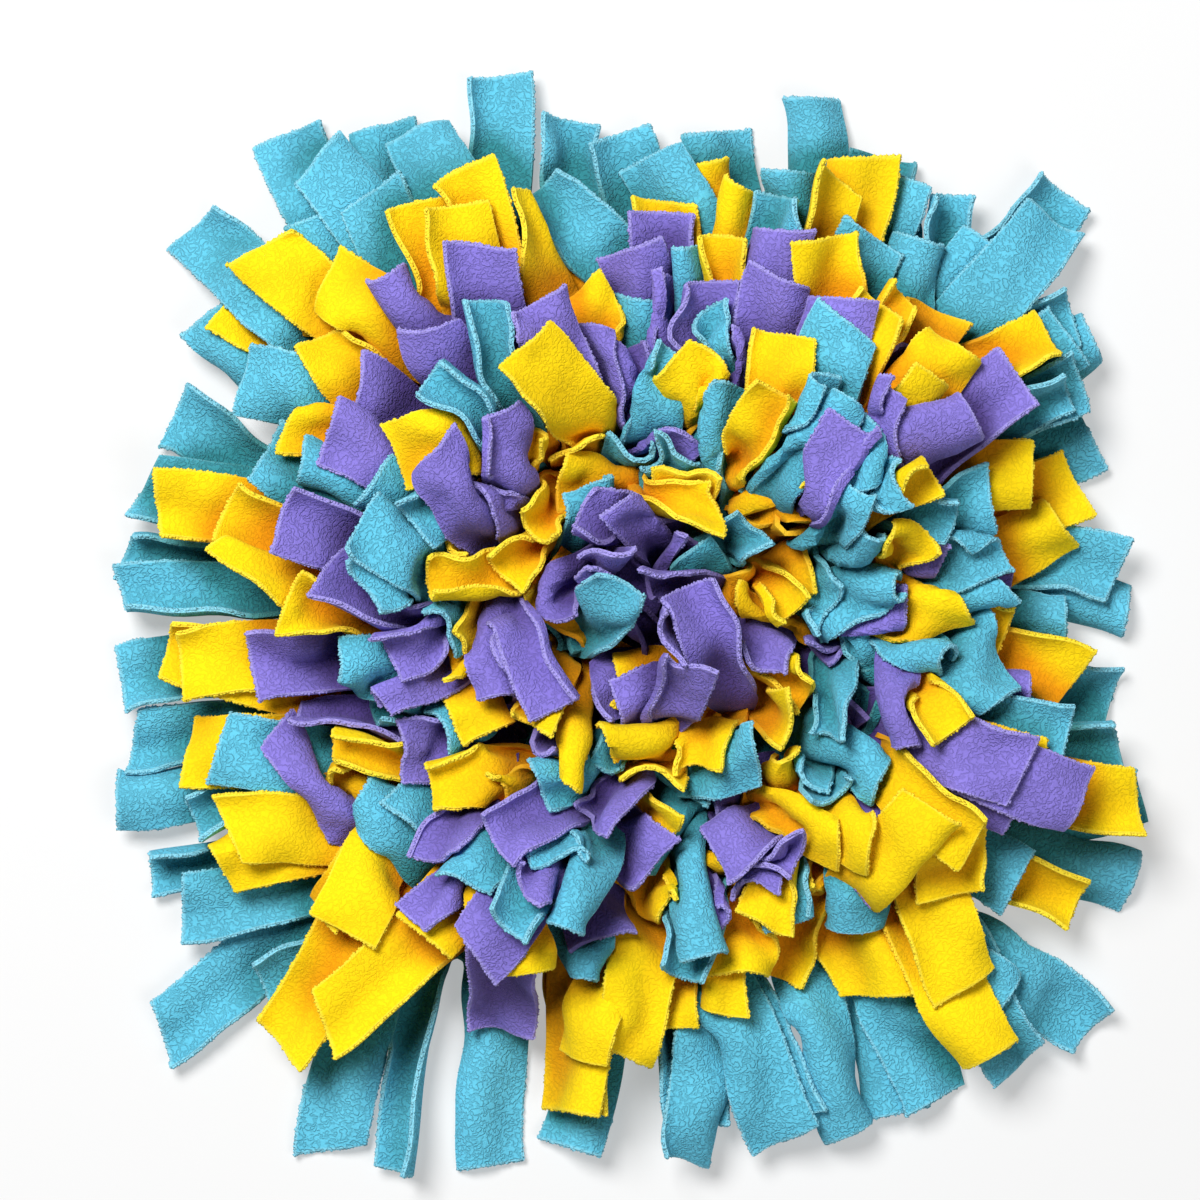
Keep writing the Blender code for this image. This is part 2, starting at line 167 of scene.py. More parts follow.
# %% The tails between them
# colour, (fixing x, y), (tip x, y, height over the crown, cup, lean): millimetres and degrees
TAILS = (
    # behind, left
    ("teal", (-95, 100), (-138, 180, 0, 0, 0)),
    ("teal", (-80, 110), (-115, 190, 0, 3, 0)),
    ("teal", (-90, 85), (-170, 108, 0, 0, 0)),
    ("yellow", (-110, 95), (-178, 143, 0, 0, 0)),
    ("yellow", (-60, 100), (-77, 182, 0, 2, 30)),
    ("yellow", (-65, 75), (-150, 86, 2, 0, 55)),
    ("yellow", (-60, 110), (-101, 71, 6, 3, 0)),
    ("purple", (-50, 90), (-105, 155, 2, 0, 0)),
    ("teal", (-40, 60), (-85, 106, 4, 13, 0)),
    ("yellow", (-20, 115), (-46, 189, 0, 0, 75)),
    ("teal", (25, 125), (-40, 192, 0, 0, 0)),
    # behind, middle
    ("teal", (52, 122), (10, 207, 0, 0, 0)),
    ("teal", (52, 122), (72, 200, 0, -4, 0)),
    ("teal", (-45, 60), (-62, 138, 0, 7, 0)),
    ("purple", (-25, 65), (-43, 140, 0, 8, 0)),
    ("purple", (15, 95), (15, 180, 0, 0, 0)),
    ("purple", (25, 60), (33, 148, 0, 10, 0)),
    ("purple", (10, 75), (15, 153, 2, 5, 70)),
    ("yellow", (20, 100), (17, 185, 0, 3, 0)),
    ("yellow", (40, 110), (55, 190, 0, 4, 40)),
    ("yellow", (38, 85), (40, 168, 0, 9, 0)),
    ("teal", (55, 100), (68, 188, 0, 2, -50)),
    ("teal", (22, 85), (25, 165, 0, 0, 70)),
    ("yellow", (5, 65), (-24, 146, 4, 0, 0)),
    ("teal", (5, 60), (8, 140, 0, 0, 0)),
    ("teal", (25, 55), (36, 139, 4, 2, 0)),
    ("purple", (30, 50), (38, 127, 6, 6, 70)),
    ("purple", (50, 85), (66, 172, 0, 3, 0)),
    ("purple", (-5, 45), (-22, 128, 4, 2, 0)),
    ("purple", (10, 40), (-4, 126, 8, 0, 0)),
    ("yellow", (-15, 35), (-24, 117, 6, 5, -60)),
    ("teal", (10, 45), (28, 120, 4, 0, 60)),
    ("yellow", (38, 35), (41, 119, 8, 0, 45)),
    ("yellow", (15, 30), (16, 108, 8, 2, 70)),
    # behind, right
    ("teal", (122, 106), (143, 190, 0, 8, 30)),
    ("teal", (122, 106), (198, 135, 0, 0, 0)),
    ("yellow", (95, 80), (84, 168, 0, 0, 0)),
    ("teal", (70, 90), (108, 170, 0, 0, 0)),
    ("teal", (105, 85), (130, 170, 0, -6, 0)),
    ("teal", (110, 60), (193, 103, 0, 0, 50)),
    ("purple", (75, 60), (93, 140, 2, 0, 0)),
    ("yellow", (75, 75), (110, 138, 2, 9, 0)),
    ("yellow", (85, 80), (120, 143, 2, 14, 0)),
    ("yellow", (75, 40), (143, 120, 0, 0, 0)),
    ("yellow", (95, 40), (132, 105, 2, 0, 70)),
    ("purple", (75, 40), (98, 90, 6, 12, 0)),
    ("purple", (100, 30), (110, 100, 4, 3, 75)),
    ("teal", (75, 35), (95, 100, 6, -5, 0)),
    ("teal", (60, 30), (81, 103, 6, 2, 65)),
    ("yellow", (50, 30), (68, 98, 8, 8, 0)),
    # right
    ("purple", (104, -42), (171, -66, 8, 3, 12)),
    ("purple", (90, 5), (168, 10, 0, -6, 0)),
    ("purple", (60, 40), (125, 2, 4, 0, 50)),
    ("teal", (35, -5), (119, 28, 4, 0, 0)),
    ("teal", (85, 20), (160, 52, 0, 0, 0)),
    ("teal", (85, 10), (160, 35, 0, 0, 0)),
    ("teal", (75, 15), (138, 40, 2, 9, 0)),
    ("teal", (45, 20), (95, 68, 8, 0, 0)),
    ("teal", (60, 30), (118, 60, 4, 10, 0)),
    ("yellow", (70, 10), (128, 43, 6, 6, 0)),
    ("yellow", (80, 30), (129, 67, 6, 8, 70)),
    ("purple", (50, 10), (96, 51, 10, 0, 60)),
    ("yellow", (30, 15), (95, 42, 12, 0, 20)),
    ("yellow", (25, -20), (86, 29, 14, 0, 0)),
    ("yellow", (40, -10), (72, 0, 12, 12, 0)),
    ("teal", (50, -25), (121, -25, 4, 0, 0)),
    ("teal", (70, -10), (141, -24, 2, 0, 0)),
    ("teal", (75, -5), (149, -20, 0, 0, 0)),
    ("teal", (55, -20), (103, -30, 8, 9, 0)),
    ("teal", (60, 5), (90, -53, 6, 0, 45)),
    ("yellow", (90, -5), (140, -50, 2, 9, 0)),
    ("yellow", (80, 0), (148, 12, 2, 0, 0)),
    ("teal", (85, 0), (163, 20, 0, -5, 0)),
    ("teal", (105, -42), (191, -53, 0, 0, 0)),
    ("teal", (98, -70), (173, -116, 0, 0, 0)),
    ("yellow", (110, -60), (183, -68, 0, 0, 0)),
    ("yellow", (106, 6), (192, 42, 0, 0, 0)),
    ("yellow", (106, 6), (166, -2, 0, 5, 0)),
    # in front, right
    ("teal", (112, -132), (166, -172, 0, 3, 0)),
    ("teal", (112, -132), (122, -221, 0, 0, 0)),
    ("yellow", (120, -60), (143, -119, 0, 0, 0)),
    ("yellow", (100, -50), (150, -97, 0, 8, 0)),
    ("teal", (55, -60), (70, -135, 2, 9, 0)),
    ("purple", (70, -55), (112, -118, 4, -7, 0)),
    ("yellow", (60, -60), (108, -100, 8, 0, 0)),
    ("yellow", (55, -45), (98, -96, 8, 0, 0)),
    ("purple", (50, -30), (57, -95, 8, 0, 0)),
    ("purple", (60, -35), (78, -98, 8, 0, 0)),
    ("teal", (65, -35), (112, -72, 6, -8, 0)),
    ("purple", (60, -20), (98, -56, 6, 8, 0)),
    ("purple", (65, -20), (122, -60, 6, 0, 0)),
    # in front, middle
    ("teal", (28, -138), (76, -222, 0, 0, 20)),
    ("teal", (28, -138), (30, -224, 0, 4, 0)),
    ("teal", (-20, -40), (-30, -108, 2, 8, 0)),
    ("purple", (-15, -45), (-46, -112, 2, 0, 0)),
    ("yellow", (-25, -125), (-17, -216, 0, 0, 65)),
    ("teal", (-5, -80), (-14, -160, 0, -8, 0)),
    ("yellow", (15, -115), (-22, -195, 0, 0, 60)),
    ("yellow", (5, -105), (-6, -193, 0, 0, 0)),
    ("yellow", (5, -100), (42, -175, 0, 0, 60)),
    ("teal", (18, -75), (22, -155, 0, 8, 0)),
    ("teal", (3, -45), (5, -113, 4, -10, 0)),
    ("yellow", (5, -60), (20, -128, 6, 0, 60)),
    ("yellow", (40, -65), (57, -135, 4, 8, 0)),
    ("purple", (45, -55), (63, -122, 2, 5, 0)),
    ("teal", (30, -10), (38, -70, 4, 6, 0)),
    ("teal", (0, -20), (-3, -88, 4, -8, 0)),
    ("teal", (10, -5), (0, -68, 4, 0, 0)),
    ("purple", (0, -25), (-18, -90, 4, 7, 0)),
    ("purple", (20, -35), (14, -108, 4, 0, 0)),
    ("purple", (30, -40), (36, -108, 4, 0, 0)),
    ("yellow", (45, -30), (52, -104, 4, 3, 0)),
    ("purple", (30, -20), (36, -88, 6, 0, 0)),
    ("yellow", (-5, -45), (-12, -112, 4, 0, 0)),
    # in front, left
    ("yellow", (-20, -95), (-90, -138, 0, 0, 0)),
    ("yellow", (-95, -70), (-136, -130, 0, 0, 50)),
    ("yellow", (-92, -75), (-126, -137, 0, 0, 0)),
    ("yellow", (-100, -85), (-182, -107, 0, 0, 30)),
    ("teal", (-95, -62), (-181, -57, 0, 0, 0)),
    ("yellow", (-118, -30), (-205, -13, 0, 0, 0)),
    ("purple", (-40, -80), (-95, -133, 6, 0, 60)),
    ("purple", (-35, -45), (-85, -105, 4, 9, 0)),
    ("yellow", (-70, -30), (-133, -60, 2, 8, 0)),
    ("yellow", (-75, -50), (-138, -72, 2, 6, 0)),
    ("teal", (-128, -50), (-192, -90, 0, 6, 0)),
    ("teal", (-128, -50), (-222, -56, 0, 0, 0)),
    # left
    ("yellow", (-105, -10), (-178, 35, 0, 0, 65)),
    ("yellow", (-90, -20), (-150, 8, 0, 6, 0)),
    ("purple", (-70, 15), (-134, 20, 2, 0, 30)),
    ("purple", (-70, -35), (-148, -44, 0, 5, 60)),
    ("purple", (-100, -95), (-162, -48, 0, 0, 80)),
    ("teal", (-95, 30), (-160, 75, 0, 0, 0)),
    ("teal", (-75, 40), (-145, 70, 0, -6, 0)),
    ("purple", (-60, 20), (-110, -15, 4, 10, 0)),
    ("purple", (-60, -20), (-114, -37, 6, 0, 60)),
    ("yellow", (-72, 105), (-93, 183, 0, 0, 20)),
    ("yellow", (-72, 105), (-133, 150, 0, 0, 0)),
    # the middle
    ("yellow", (5, 25), (-42, 40, 8, 0, 0)),
    ("purple", (-20, 55), (-87, 80, 4, 0, 0)),
    ("purple", (-45, 25), (-70, 72, 6, 0, 0)),
    ("purple", (-30, 50), (-58, 92, 6, 8, 70)),
    ("yellow", (-30, 30), (-46, 85, 6, 9, 0)),
    ("yellow", (-15, 5), (-33, 63, 6, -5, 0)),
    ("teal", (8, 10), (5, 80, 4, 9, 0)),
    ("teal", (5, 0), (8, 75, 8, 5, 0)),
    ("purple", (15, 20), (25, 87, 6, 0, -50)),
    ("purple", (30, 0), (-2, 54, 6, 0, 55)),
    ("purple", (-5, 15), (28, 35, 4, 8, 30)),
    ("teal", (20, -30), (22, 30, 4, -9, 0)),
    ("purple", (15, -35), (8, 18, 4, 12, 0)),
    ("purple", (35, 10), (-20, 20, 8, 0, 60)),
    ("teal", (-45, 15), (0, 17, 4, 0, 0)),
    ("purple", (-5, -10), (-22, 45, 4, 8, 0)),
    ("teal", (0, 50), (-20, -10, 4, 0, 0)),
    ("purple", (15, 0), (-37, -3, 8, 0, 0)),
    ("purple", (-10, 0), (-52, -38, 4, 0, 0)),
    ("purple", (-10, 15), (-30, -38, 4, 9, 0)),
    ("purple", (10, 15), (-14, -35, 6, 3, 65)),
    ("yellow", (45, -10), (-8, -30, 4, 8, 0)),
    ("purple", (55, -25), (4, -15, 4, 0, 0)),
    ("purple", (30, -55), (25, 14, 4, 0, 0)),
    ("purple", (50, -75), (26, -18, 4, 3, 0)),
    ("purple", (20, 10), (50, -25, 4, 0, 0)),
    ("yellow", (85, 40), (45, 6, 4, 5, 0)),
    ("yellow", (10, 10), (42, 45, 10, 6, 0)),
    ("yellow", (20, -10), (44, 25, 6, -8, 0)),
    ("teal", (10, 20), (57, 40, 6, 8, 0)),
    ("yellow", (-45, -5), (-88, -20, 4, 10, 0)),
    ("yellow", (-45, -45), (-75, -8, 4, -9, 0)),
    ("yellow", (-10, -5), (-75, 12, 6, 0, 0)),
    ("yellow", (-35, -5), (-88, 17, 4, 9, 0)),
    ("teal", (-30, -10), (-82, 5, 4, 8, 0)),
    ("teal", (-35, -20), (-88, -8, 4, 0, 0)),
    ("yellow", (-20, 15), (-42, -45, 6, 8, 0)),
    ("yellow", (-30, 0), (-58, -50, 4, -6, 0)),
    ("teal", (-10, -15), (-40, -72, 4, 0, 0)),
    ("yellow", (15, -25), (-62, -75, 4, 0, 0)),
    ("yellow", (30, -15), (-29, -72, 6, 0, 40)),
    ("yellow", (25, 0), (30, -68, 4, 9, 0)),
    ("yellow", (18, -30), (20, -97, 4, 6, 0)),
    ("yellow", (20, -15), (78, -35, 6, 4, 0)),
)
print(len(TAILS), "single tails")

# %% [markdown]
# ## One tail of cloth
#
# A tail is a grid of points in the middle of the cloth: rows from the fixing to the tip, columns
# from one long edge to the other. Seen from above it leaves the fixing sideways and swings round to
# its tip. Seen from the side it follows a line of heights. Across its width it is an arc, whose depth
# is the cup, with some of an S in it, because fleece curls towards its cut edges.

# %% Rows and columns of a tail
ROWS = 16  # steps along one tail
COLUMNS = 6  # steps across it
ROW_AT = np.linspace(0.0, 1.0, ROWS + 1)
COLUMN_AT = np.linspace(-1.0, 1.0, COLUMNS + 1)
random = np.random.default_rng(3)
print("a tail has", ROWS + 1, "rows of", COLUMNS + 1, "points")


def smooth_step(value):
    value = np.clip(value, 0.0, 1.0)
    return value * value * (3.0 - 2.0 * value)


# %% The curve across the width
FINE = 10  # fine steps to each column, added up along the curve
MOST_CURL = 5.0  # radians from one long edge to the other


def across_width(width, cup, twist):
    """Sideways and upward places of the columns: an arc as deep as the cup, with an S of twist."""
    fine = np.linspace(-1.0, 1.0, FINE * COLUMNS + 1)[None, :]
    turn = np.clip(8.0 * cup / width, -MOST_CURL, MOST_CURL)  # of an arc with this depth and width
    slope = turn / 2 * fine + 4.0 * twist / width * (3 * fine**2 - 1)
    step = width / (FINE * COLUMNS)
    sideways = np.cumsum(np.cos(slope), axis=1) * step
    upwards = np.cumsum(np.sin(slope), axis=1) * step
    middle = FINE * COLUMNS // 2
    sideways -= sideways[:, middle : middle + 1]
    upwards -= upwards[:, middle : middle + 1]
    return sideways[:, ::FINE], upwards[:, ::FINE]


curled = across_width(np.array([[STRIP_WIDTH]]), 8 * MM, 0.0)[0]
print("cupped 8 mm deep, a strip spans", round(float(np.ptp(curled)) / MM, 1), "mm")


# %% A tail along its line of heights
SKEW = 4 * MM  # how far a tip is cut out of square


def course(u, root, swing, reach):
    """Where a tail is, seen from above, at the share u of its length."""
    return root + swing * u * (1 - u) ** 2 + reach * (2 * u**2 - u**3)


def tail_rows(root, swing, tip, heights, cup, lean, twist):
    """Rows of points from the fixing to the tip; swing is the sideways turn out of the fixing."""
    u = ROW_AT[:, None]
    reach = tip - root
    plan = course(u, root, swing, reach)
    along = swing * (1 - u) * (1 - 3 * u) + reach * (4 * u - 3 * u**2)
    along /= np.linalg.norm(along, axis=1, keepdims=True) + 1e-9
    across = np.stack((-along[:, 1], along[:, 0]), axis=1)

    opened = smooth_step(u / GATHER_SHARE)
    width = GATHER_WIDTH * (1 - opened) + STRIP_WIDTH * opened
    bent = GATHER_SAG * (1 - opened) + cup * opened
    sideways, upwards = across_width(width, bent, twist * opened)
    turn = np.radians(lean) * smooth_step(u)
    shift = sideways * np.cos(turn) - upwards * np.sin(turn)
    lift = sideways * np.sin(turn) + upwards * np.cos(turn)
    flat = plan[:, None, :] + across[:, None, :] * shift[..., None]
    askew = random.uniform(-SKEW, SKEW) * COLUMN_AT[None, :] * u**6
    flat = flat + along[:, None, :] * askew[..., None]
    return np.concatenate((flat, (heights[:, None] + lift)[..., None]), axis=2)


bend = course(0.5, np.zeros(2), np.array((TURN, 0.0)), np.array((0.0, 100 * MM)))
print("halfway to a tip 100 mm off, a strip is at", (bend / MM).round(1), "mm")


# %% [markdown]
# ## The heap
#
# Cloth that lies in a heap is pushed up by what is under it. A height map does this for the tails
# that lie flat: it keeps the highest surface in each small square of the floor. The outer half of
# each tail is what shows, so that half is kept clear of the map and then joins it; the inner half
# goes down among the others. Where a tail would sink into the map it is raised, and the raise is
# spread over its neighbours, because fleece is springy and bridges small dips.

# %% The height map
CELL = 1.5 * MM  # side of a square
MAP_HALF = 270 * MM
COUNT = round(2 * MAP_HALF / CELL)
off_middle = np.abs((np.arange(COUNT) + 0.5) * CELL - MAP_HALF)
on_base = np.maximum(off_middle[:, None], off_middle[None, :]) < BASE_SIDE / 2
ground = np.where(on_base, BASE_THICK, 0.0)
heap = ground.copy()
print("height map of", COUNT, "by", COUNT, "squares")


def cells(points):
    index = ((points[..., :2] + MAP_HALF) / CELL).astype(int)
    index = np.clip(index, 1, COUNT - 2)
    return index[..., 0], index[..., 1]


def under(points):
    """The highest surface in the square of each point and in the eight squares around it."""
    i, j = cells(points)
    return np.max([heap[i + di, j + dj] for di in (-1, 0, 1) for dj in (-1, 0, 1)], axis=0)


# %% How a raise is spread
SPREAD = 8  # how often the raise is passed on to the neighbours


def spread_raise(need):
    """A smooth raise that is nowhere less than the need."""
    out = need
    for _ in range(SPREAD):
        wide = np.pad(out, 1, mode="edge")
        out = (wide[:-2, 1:-1] + wide[2:, 1:-1] + wide[1:-1, :-2] + wide[1:-1, 2:] + 2 * out) / 6
        out = np.maximum(out, need)
    return out


ridge = np.eye(1, ROWS + 1, ROWS // 2).T * MM
print("a raise of 1 mm at one row lifts", int((spread_raise(ridge) > 0).sum()), "rows")


# %% A tail meets the map
GAP = 0.3 * MM  # room left under a laid tail
HALF = FLEECE_THICK / 2
PASSES = 3  # how often a tail is compared with the map
HIDDEN = 0.42  # share of a tail that lies deep in the heap
BLEND = 0.1  # share over which the hidden part becomes the shown part
FREE = 0.3  # share of a tail over which the fixing lets go of it


def halfway(grid):
    """The grid with points added halfway between its rows and between its columns."""
    for axis in (0, 1):
        grid = np.moveaxis(grid, axis, 0)
        fine = np.empty((2 * grid.shape[0] - 1, *grid.shape[1:]))
        fine[::2] = grid
        fine[1::2] = (grid[1:] + grid[:-1]) / 2
        grid = np.moveaxis(fine, 0, axis)
    return grid


def settle(grid, share, most):
    """Raises the outer half of the grid clear of the heap, by a share of what it needs."""
    start = grid[..., 2].copy()
    shown = smooth_step((ROW_AT - HIDDEN + BLEND) / (2 * BLEND))[:, None]
    for _ in range(PASSES):
        fine = halfway(halfway(grid))
        short = np.maximum(under(fine) + GAP + HALF - fine[..., 2], 0.0)
        wide = np.pad(short, 2)
        near = [wide[2 + di : wide.shape[0] - 2 + di, 2 + dj : wide.shape[1] - 2 + dj]
                for di in range(-2, 3) for dj in range(-2, 3)]
        need = np.max(near, axis=0)[::4, ::4] * shown
        grid[..., 2] += share * spread_raise(need) * smooth_step(ROW_AT / FREE)[:, None]
    grid[..., 2] = np.minimum(grid[..., 2], start + most)
    grid[..., 2] = np.maximum(grid[..., 2], ground[cells(grid)] + GAP + HALF)
    return grid


# %% A tail joins the map
def normals(grid):
    """Directions square to the cloth, pointing up on the whole; grids may come as a stack."""
    out = np.cross(np.gradient(grid, axis=-3), np.gradient(grid, axis=-2))
    out /= np.linalg.norm(out, axis=-1, keepdims=True) + 1e-12
    return out * np.sign(out[..., 2:].mean(axis=(-3, -2), keepdims=True))


def lay_on(grid):
    """Adds the half of the cloth that shows to the height map, its thickness included."""
    for side in (-HALF, HALF):
        fine = halfway(halfway((grid + side * normals(grid))[ROW_AT > HIDDEN]))
        np.maximum.at(heap, cells(fine), fine[..., 2])


print(int((ROW_AT > HIDDEN).sum()), "rows of a tail show, and join the map")

# %% [markdown]
# ## Heights taken from the solids
#
# Each strip that has a solid follows the middle line of that solid. The tails between them have no
# solid, so they take their height from the crown: the outer surface of all the solids together,
# with its gaps bridged and its steps smoothed.

# %% Where the solids lie
def points_of(node):
    """The corners of a solid, measured from the middle of the base."""
    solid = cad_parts[node]
    flat = np.empty(3 * len(solid.data.vertices))
    solid.data.vertices.foreach_get("co", flat)
    turned = np.array(solid.matrix_world)
    return flat.reshape(-1, 3) @ turned[:3, :3].T + turned[:3, 3] - (*BASE_MIDDLE, 0.0)


def triangles_of(node):
    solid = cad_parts[node]
    solid.data.calc_loop_triangles()
    return np.array([triangle.vertices[:] for triangle in solid.data.loop_triangles])


print("the first strip's solid has", len(triangles_of("teal_strip_01")), "triangles")


# %% The crown over all of them
BRIDGED = 6  # squares of the map over which gaps are bridged
SMOOTHED = 7  # squares over which steps are smoothed
SAMPLES = 12  # points along each side of a triangle


def widest(field, size):
    """The highest value within some squares, first along x and then along y."""
    for axis in (0, 1):
        field = np.max([np.roll(field, k, axis) for k in range(-size, size + 1)], axis=0)
    return field


def smoothed(field, size):
    for axis in (0, 1, 0, 1):
        field = np.mean([np.roll(field, k, axis) for k in range(-size, size + 1)], axis=0)
    return field


crown = ground.copy()
shares = np.linspace(0.0, 1.0, SAMPLES)
inside = np.array([(a, b, 1 - a - b) for a in shares for b in shares if a + b < 1.0001])
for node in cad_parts:
    if node != "base_mat":
        spots = inside @ points_of(node)[triangles_of(node)]
        np.maximum.at(crown, cells(spots), spots[..., 2])
crown = smoothed(widest(crown, BRIDGED), SMOOTHED)
print("top of the crown:", round(crown.max() / MM, 1), "mm")

# %% [markdown]
# ## Lay the whole heap
#
# The single tails are worked in among the strips: each goes in before the first strip whose tips
# lie nearer to the middle than its own. Outside, a tail rises from its fixing and flops over. Inside
# there is no room for that, so the tails stand up, lean on each other and curl.

# %% Lying or standing, flat or curled
THICKET_MIDDLE = np.array((10, -16)) * MM
THICKET_RADIUS = 185 * MM
WELL_CURLED = 6  # a cup of so many millimetres in the plan needs no more


def standing(tip):
    """1 where the tails stand up, 0 where they lie flat."""
    away = np.linalg.norm(tip - THICKET_MIDDLE)
    return float(smooth_step((THICKET_RADIUS - away) / (0.5 * THICKET_RADIUS)))


def curl(cup, inner):
    """The cup of the plan and some more, because a tail in the thicket is never flat."""
    if abs(cup) >= WELL_CURLED:
        return cup * MM
    least = 0.8 + 2.2 * inner
    return (cup + random.choice((-1, 1)) * random.uniform(least, 4 * least)) * MM


print("share that stands up 150 mm from the middle:", round(standing(THICKET_MIDDLE + (0.15, 0.0)), 2))


# %% The two tails of a strip that has a solid
TIP_LIFT = 7 * MM  # the most that a tip turns up
RINGS = 7  # places along a solid's tail where its height is read


def solid_heights(corners, root, swing, tip):
    """Heights along the middle of a solid's tail, one for each row."""
    knots = np.linspace(0.0, 1.0, RINGS)
    found = []
    for u in knots:
        off = np.linalg.norm(corners[:, :2] - course(u, root, swing, tip - root), axis=1)
        found.append(corners[np.argsort(off)[:2], 2].mean())
    return np.interp(ROW_AT, knots, found)


def two_tails(node, root, first, second):
    """The tails leave the fixing in opposite directions, as one strip, and swing round to the tips."""
    corners = points_of(node)
    root = np.array(root) * MM
    outwards = (np.array(first[:2]) + np.array(second[:2])) / 2 * MM - root
    side = np.array((-outwards[1], outwards[0])) / np.linalg.norm(outwards)
    side = side * np.sign(side @ (np.array(second[:2]) - np.array(first[:2])))
    tails = []
    for sense, (x, y, cup, lean) in ((-1, first), (1, second)):
        tip = np.array((x, y)) * MM
        swing = sense * TURN * side
        inner = standing(tip)
        heights = solid_heights(corners, root, swing, tip) * (1 - inner + inner * ROW_AT**2)
        heights += TIP_LIFT * random.uniform(0, 1) * ROW_AT**4
        twist = random.uniform(-1, 1) * (2 + 3 * inner) * MM
        cup = curl(cup, 0.8 * inner)
        tails.append(tail_rows(root, swing, tip, heights, cup, lean, twist))
    return tails


# %% A single tail between the strips
FLAT_REACH = 75  # the most from fixing to tip, seen from above, of a tail that lies flat: millimetres
UPRIGHT_SAVES = 42  # how much less that is for an upright one: millimetres
MOST_TURN = 1.5  # radians out of its heading in the plan
MOST_LEAN = 36  # degrees
UNEVEN = 8  # how much the tops differ in the thicket: millimetres
ABOVE_BASE = 2 * MM  # the height of a fixing


def climbing(low, top, inner, steep):
    """Heights of the rows: a flat tail flops over near its tip, a steep one goes straight up."""
    hook = (4 + 6 * inner) * MM * (1 - steep)  # how far the tip hangs down again
    flop = np.sin(math.pi / 2 * np.clip(ROW_AT / 0.75, 0, 1))
    climb = flop * (1 - steep) + steep * ROW_AT**0.8
    heights = low + (top + 0.4 * hook - low) * climb
    return heights - hook * np.clip((ROW_AT - 0.55) / 0.45, 0, 1) ** 2


def single_tail(root, tip, over, cup, lean):
    root, tip = np.array(root) * MM, np.array(tip) * MM
    inner = standing(tip)
    steep = inner * random.uniform(0.35, 1.0)
    along = (tip - root) / np.linalg.norm(tip - root)
    turn = inner * random.uniform(-MOST_TURN, MOST_TURN)
    along = np.array((along[0] * math.cos(turn) - along[1] * math.sin(turn),
                      along[0] * math.sin(turn) + along[1] * math.cos(turn)))
    root = tip - along * min(np.linalg.norm(tip - root), (FLAT_REACH - UPRIGHT_SAVES * steep) * MM)
    swing = np.array((-along[1], along[0])) * random.uniform(-1, 1) * SINGLE_TURN
    top = crown[cells(tip)] + (over * (1 - inner) + random.uniform(-UNEVEN, UNEVEN) * inner) * MM
    low = ground[cells(root)] + ABOVE_BASE
    heights = climbing(low, top, inner, steep)
    heights += TIP_LIFT * random.uniform(0, 1) * ROW_AT**4
    twist = random.uniform(-1, 1) * (1.5 + 5 * inner) * MM
    lean = lean + (0.25 + 0.75 * inner) * random.uniform(-MOST_LEAN, MOST_LEAN)
    return tail_rows(root, swing, tip, heights, curl(cup, inner), lean, twist)


tips = climbing(0.0, 50 * MM, 0.0, 0.0)[-1], climbing(0.0, 50 * MM, 1.0, 1.0)[-1]
print("under a crown of 50 mm, flat and steep tips at", [round(float(tip) / MM, 1) for tip in tips], "mm")


# %% Fill the bare places in the thicket
FILL_SPACING = 23 * MM
FILL_CLEAR = 15 * MM  # how far a new tip keeps from the tips in the plan
FILL_RADIUS = 158 * MM
FILL_REACH = 60 * MM  # from a new tip back to its fixing, at most
FILL_STEPS = np.arange(-8, 9)
FILL_HEIGHTS = (-6, 4)  # lowest and highest tip over the crown: millimetres
JITTER = 4  # how far a new tip may be off its place in the grid of triangles: millimetres
ROW_RATIO = 0.87  # the rows of that grid are this share of a spacing apart
known = [row[2][:2] for row in TAILS] + [tail[:2] for row in STRIPS for tail in row[2:]]
known = np.array(known) * MM
fillers = []
for i in FILL_STEPS:
    for j in FILL_STEPS:
        spot = THICKET_MIDDLE + FILL_SPACING * np.array((i + 0.5 * (j % 2), ROW_RATIO * j))
        spot = spot + random.uniform(-JITTER, JITTER, 2) * MM
        away = np.linalg.norm(spot - THICKET_MIDDLE)
        if away < FILL_RADIUS and np.linalg.norm(known - spot, axis=1).min() > FILL_CLEAR:
            # outside it points roughly away from the middle, inside it may point anywhere
            astray = 0.8 + 2.0 * float(smooth_step(1 - away / FILL_RADIUS))
            heading = math.atan2(*(spot - THICKET_MIDDLE)[::-1]) + random.uniform(-astray, astray)
            root = spot - FILL_REACH * np.array((math.cos(heading), math.sin(heading)))
            colour = ("teal", "yellow", "purple")[random.integers(3)]
            fillers.append((colour, root / MM, (*(spot / MM), random.uniform(*FILL_HEIGHTS), 0, 0)))
print(len(fillers), "tails more in the bare places")

# %% Lay them in order
MOST_RAISE = 14 * MM  # the heap lifts a tail by no more
laid = []  # every tail: its grid
owner = []  # its colour, and its solid's name or None


def lay(grid, tip, colour, node):
    settle(grid, 1 - standing(np.array(tip[:2]) * MM), MOST_RAISE)
    lay_on(grid)
    laid.append(grid)
    owner.append((colour, node))


def lay_single(colour, root, tip):
    lay(single_tail(root, tip[:2], *tip[2:]), tip, colour, None)


def off_centre(tip):
    return math.hypot(*tip[:2])


waiting = sorted(TAILS + tuple(fillers), key=lambda row: -off_centre(row[2]))
nearest = math.inf
count = dict.fromkeys((row[0] for row in STRIPS), 0)
for colour, root, first, second in STRIPS:
    nearest = min(nearest, max(off_centre(first), off_centre(second)))
    while waiting and off_centre(waiting[0][2]) > nearest:
        lay_single(*waiting.pop(0))
    count[colour] += 1
    node = f"{colour}_strip_{count[colour]:02d}"
    for grid, tip in zip(two_tails(node, root, first, second), (first, second)):
        lay(grid, tip, colour, node)
for row in waiting:
    lay_single(*row)
print(len(laid), "tails, top of the heap", round(heap.max() / MM, 1), "mm")

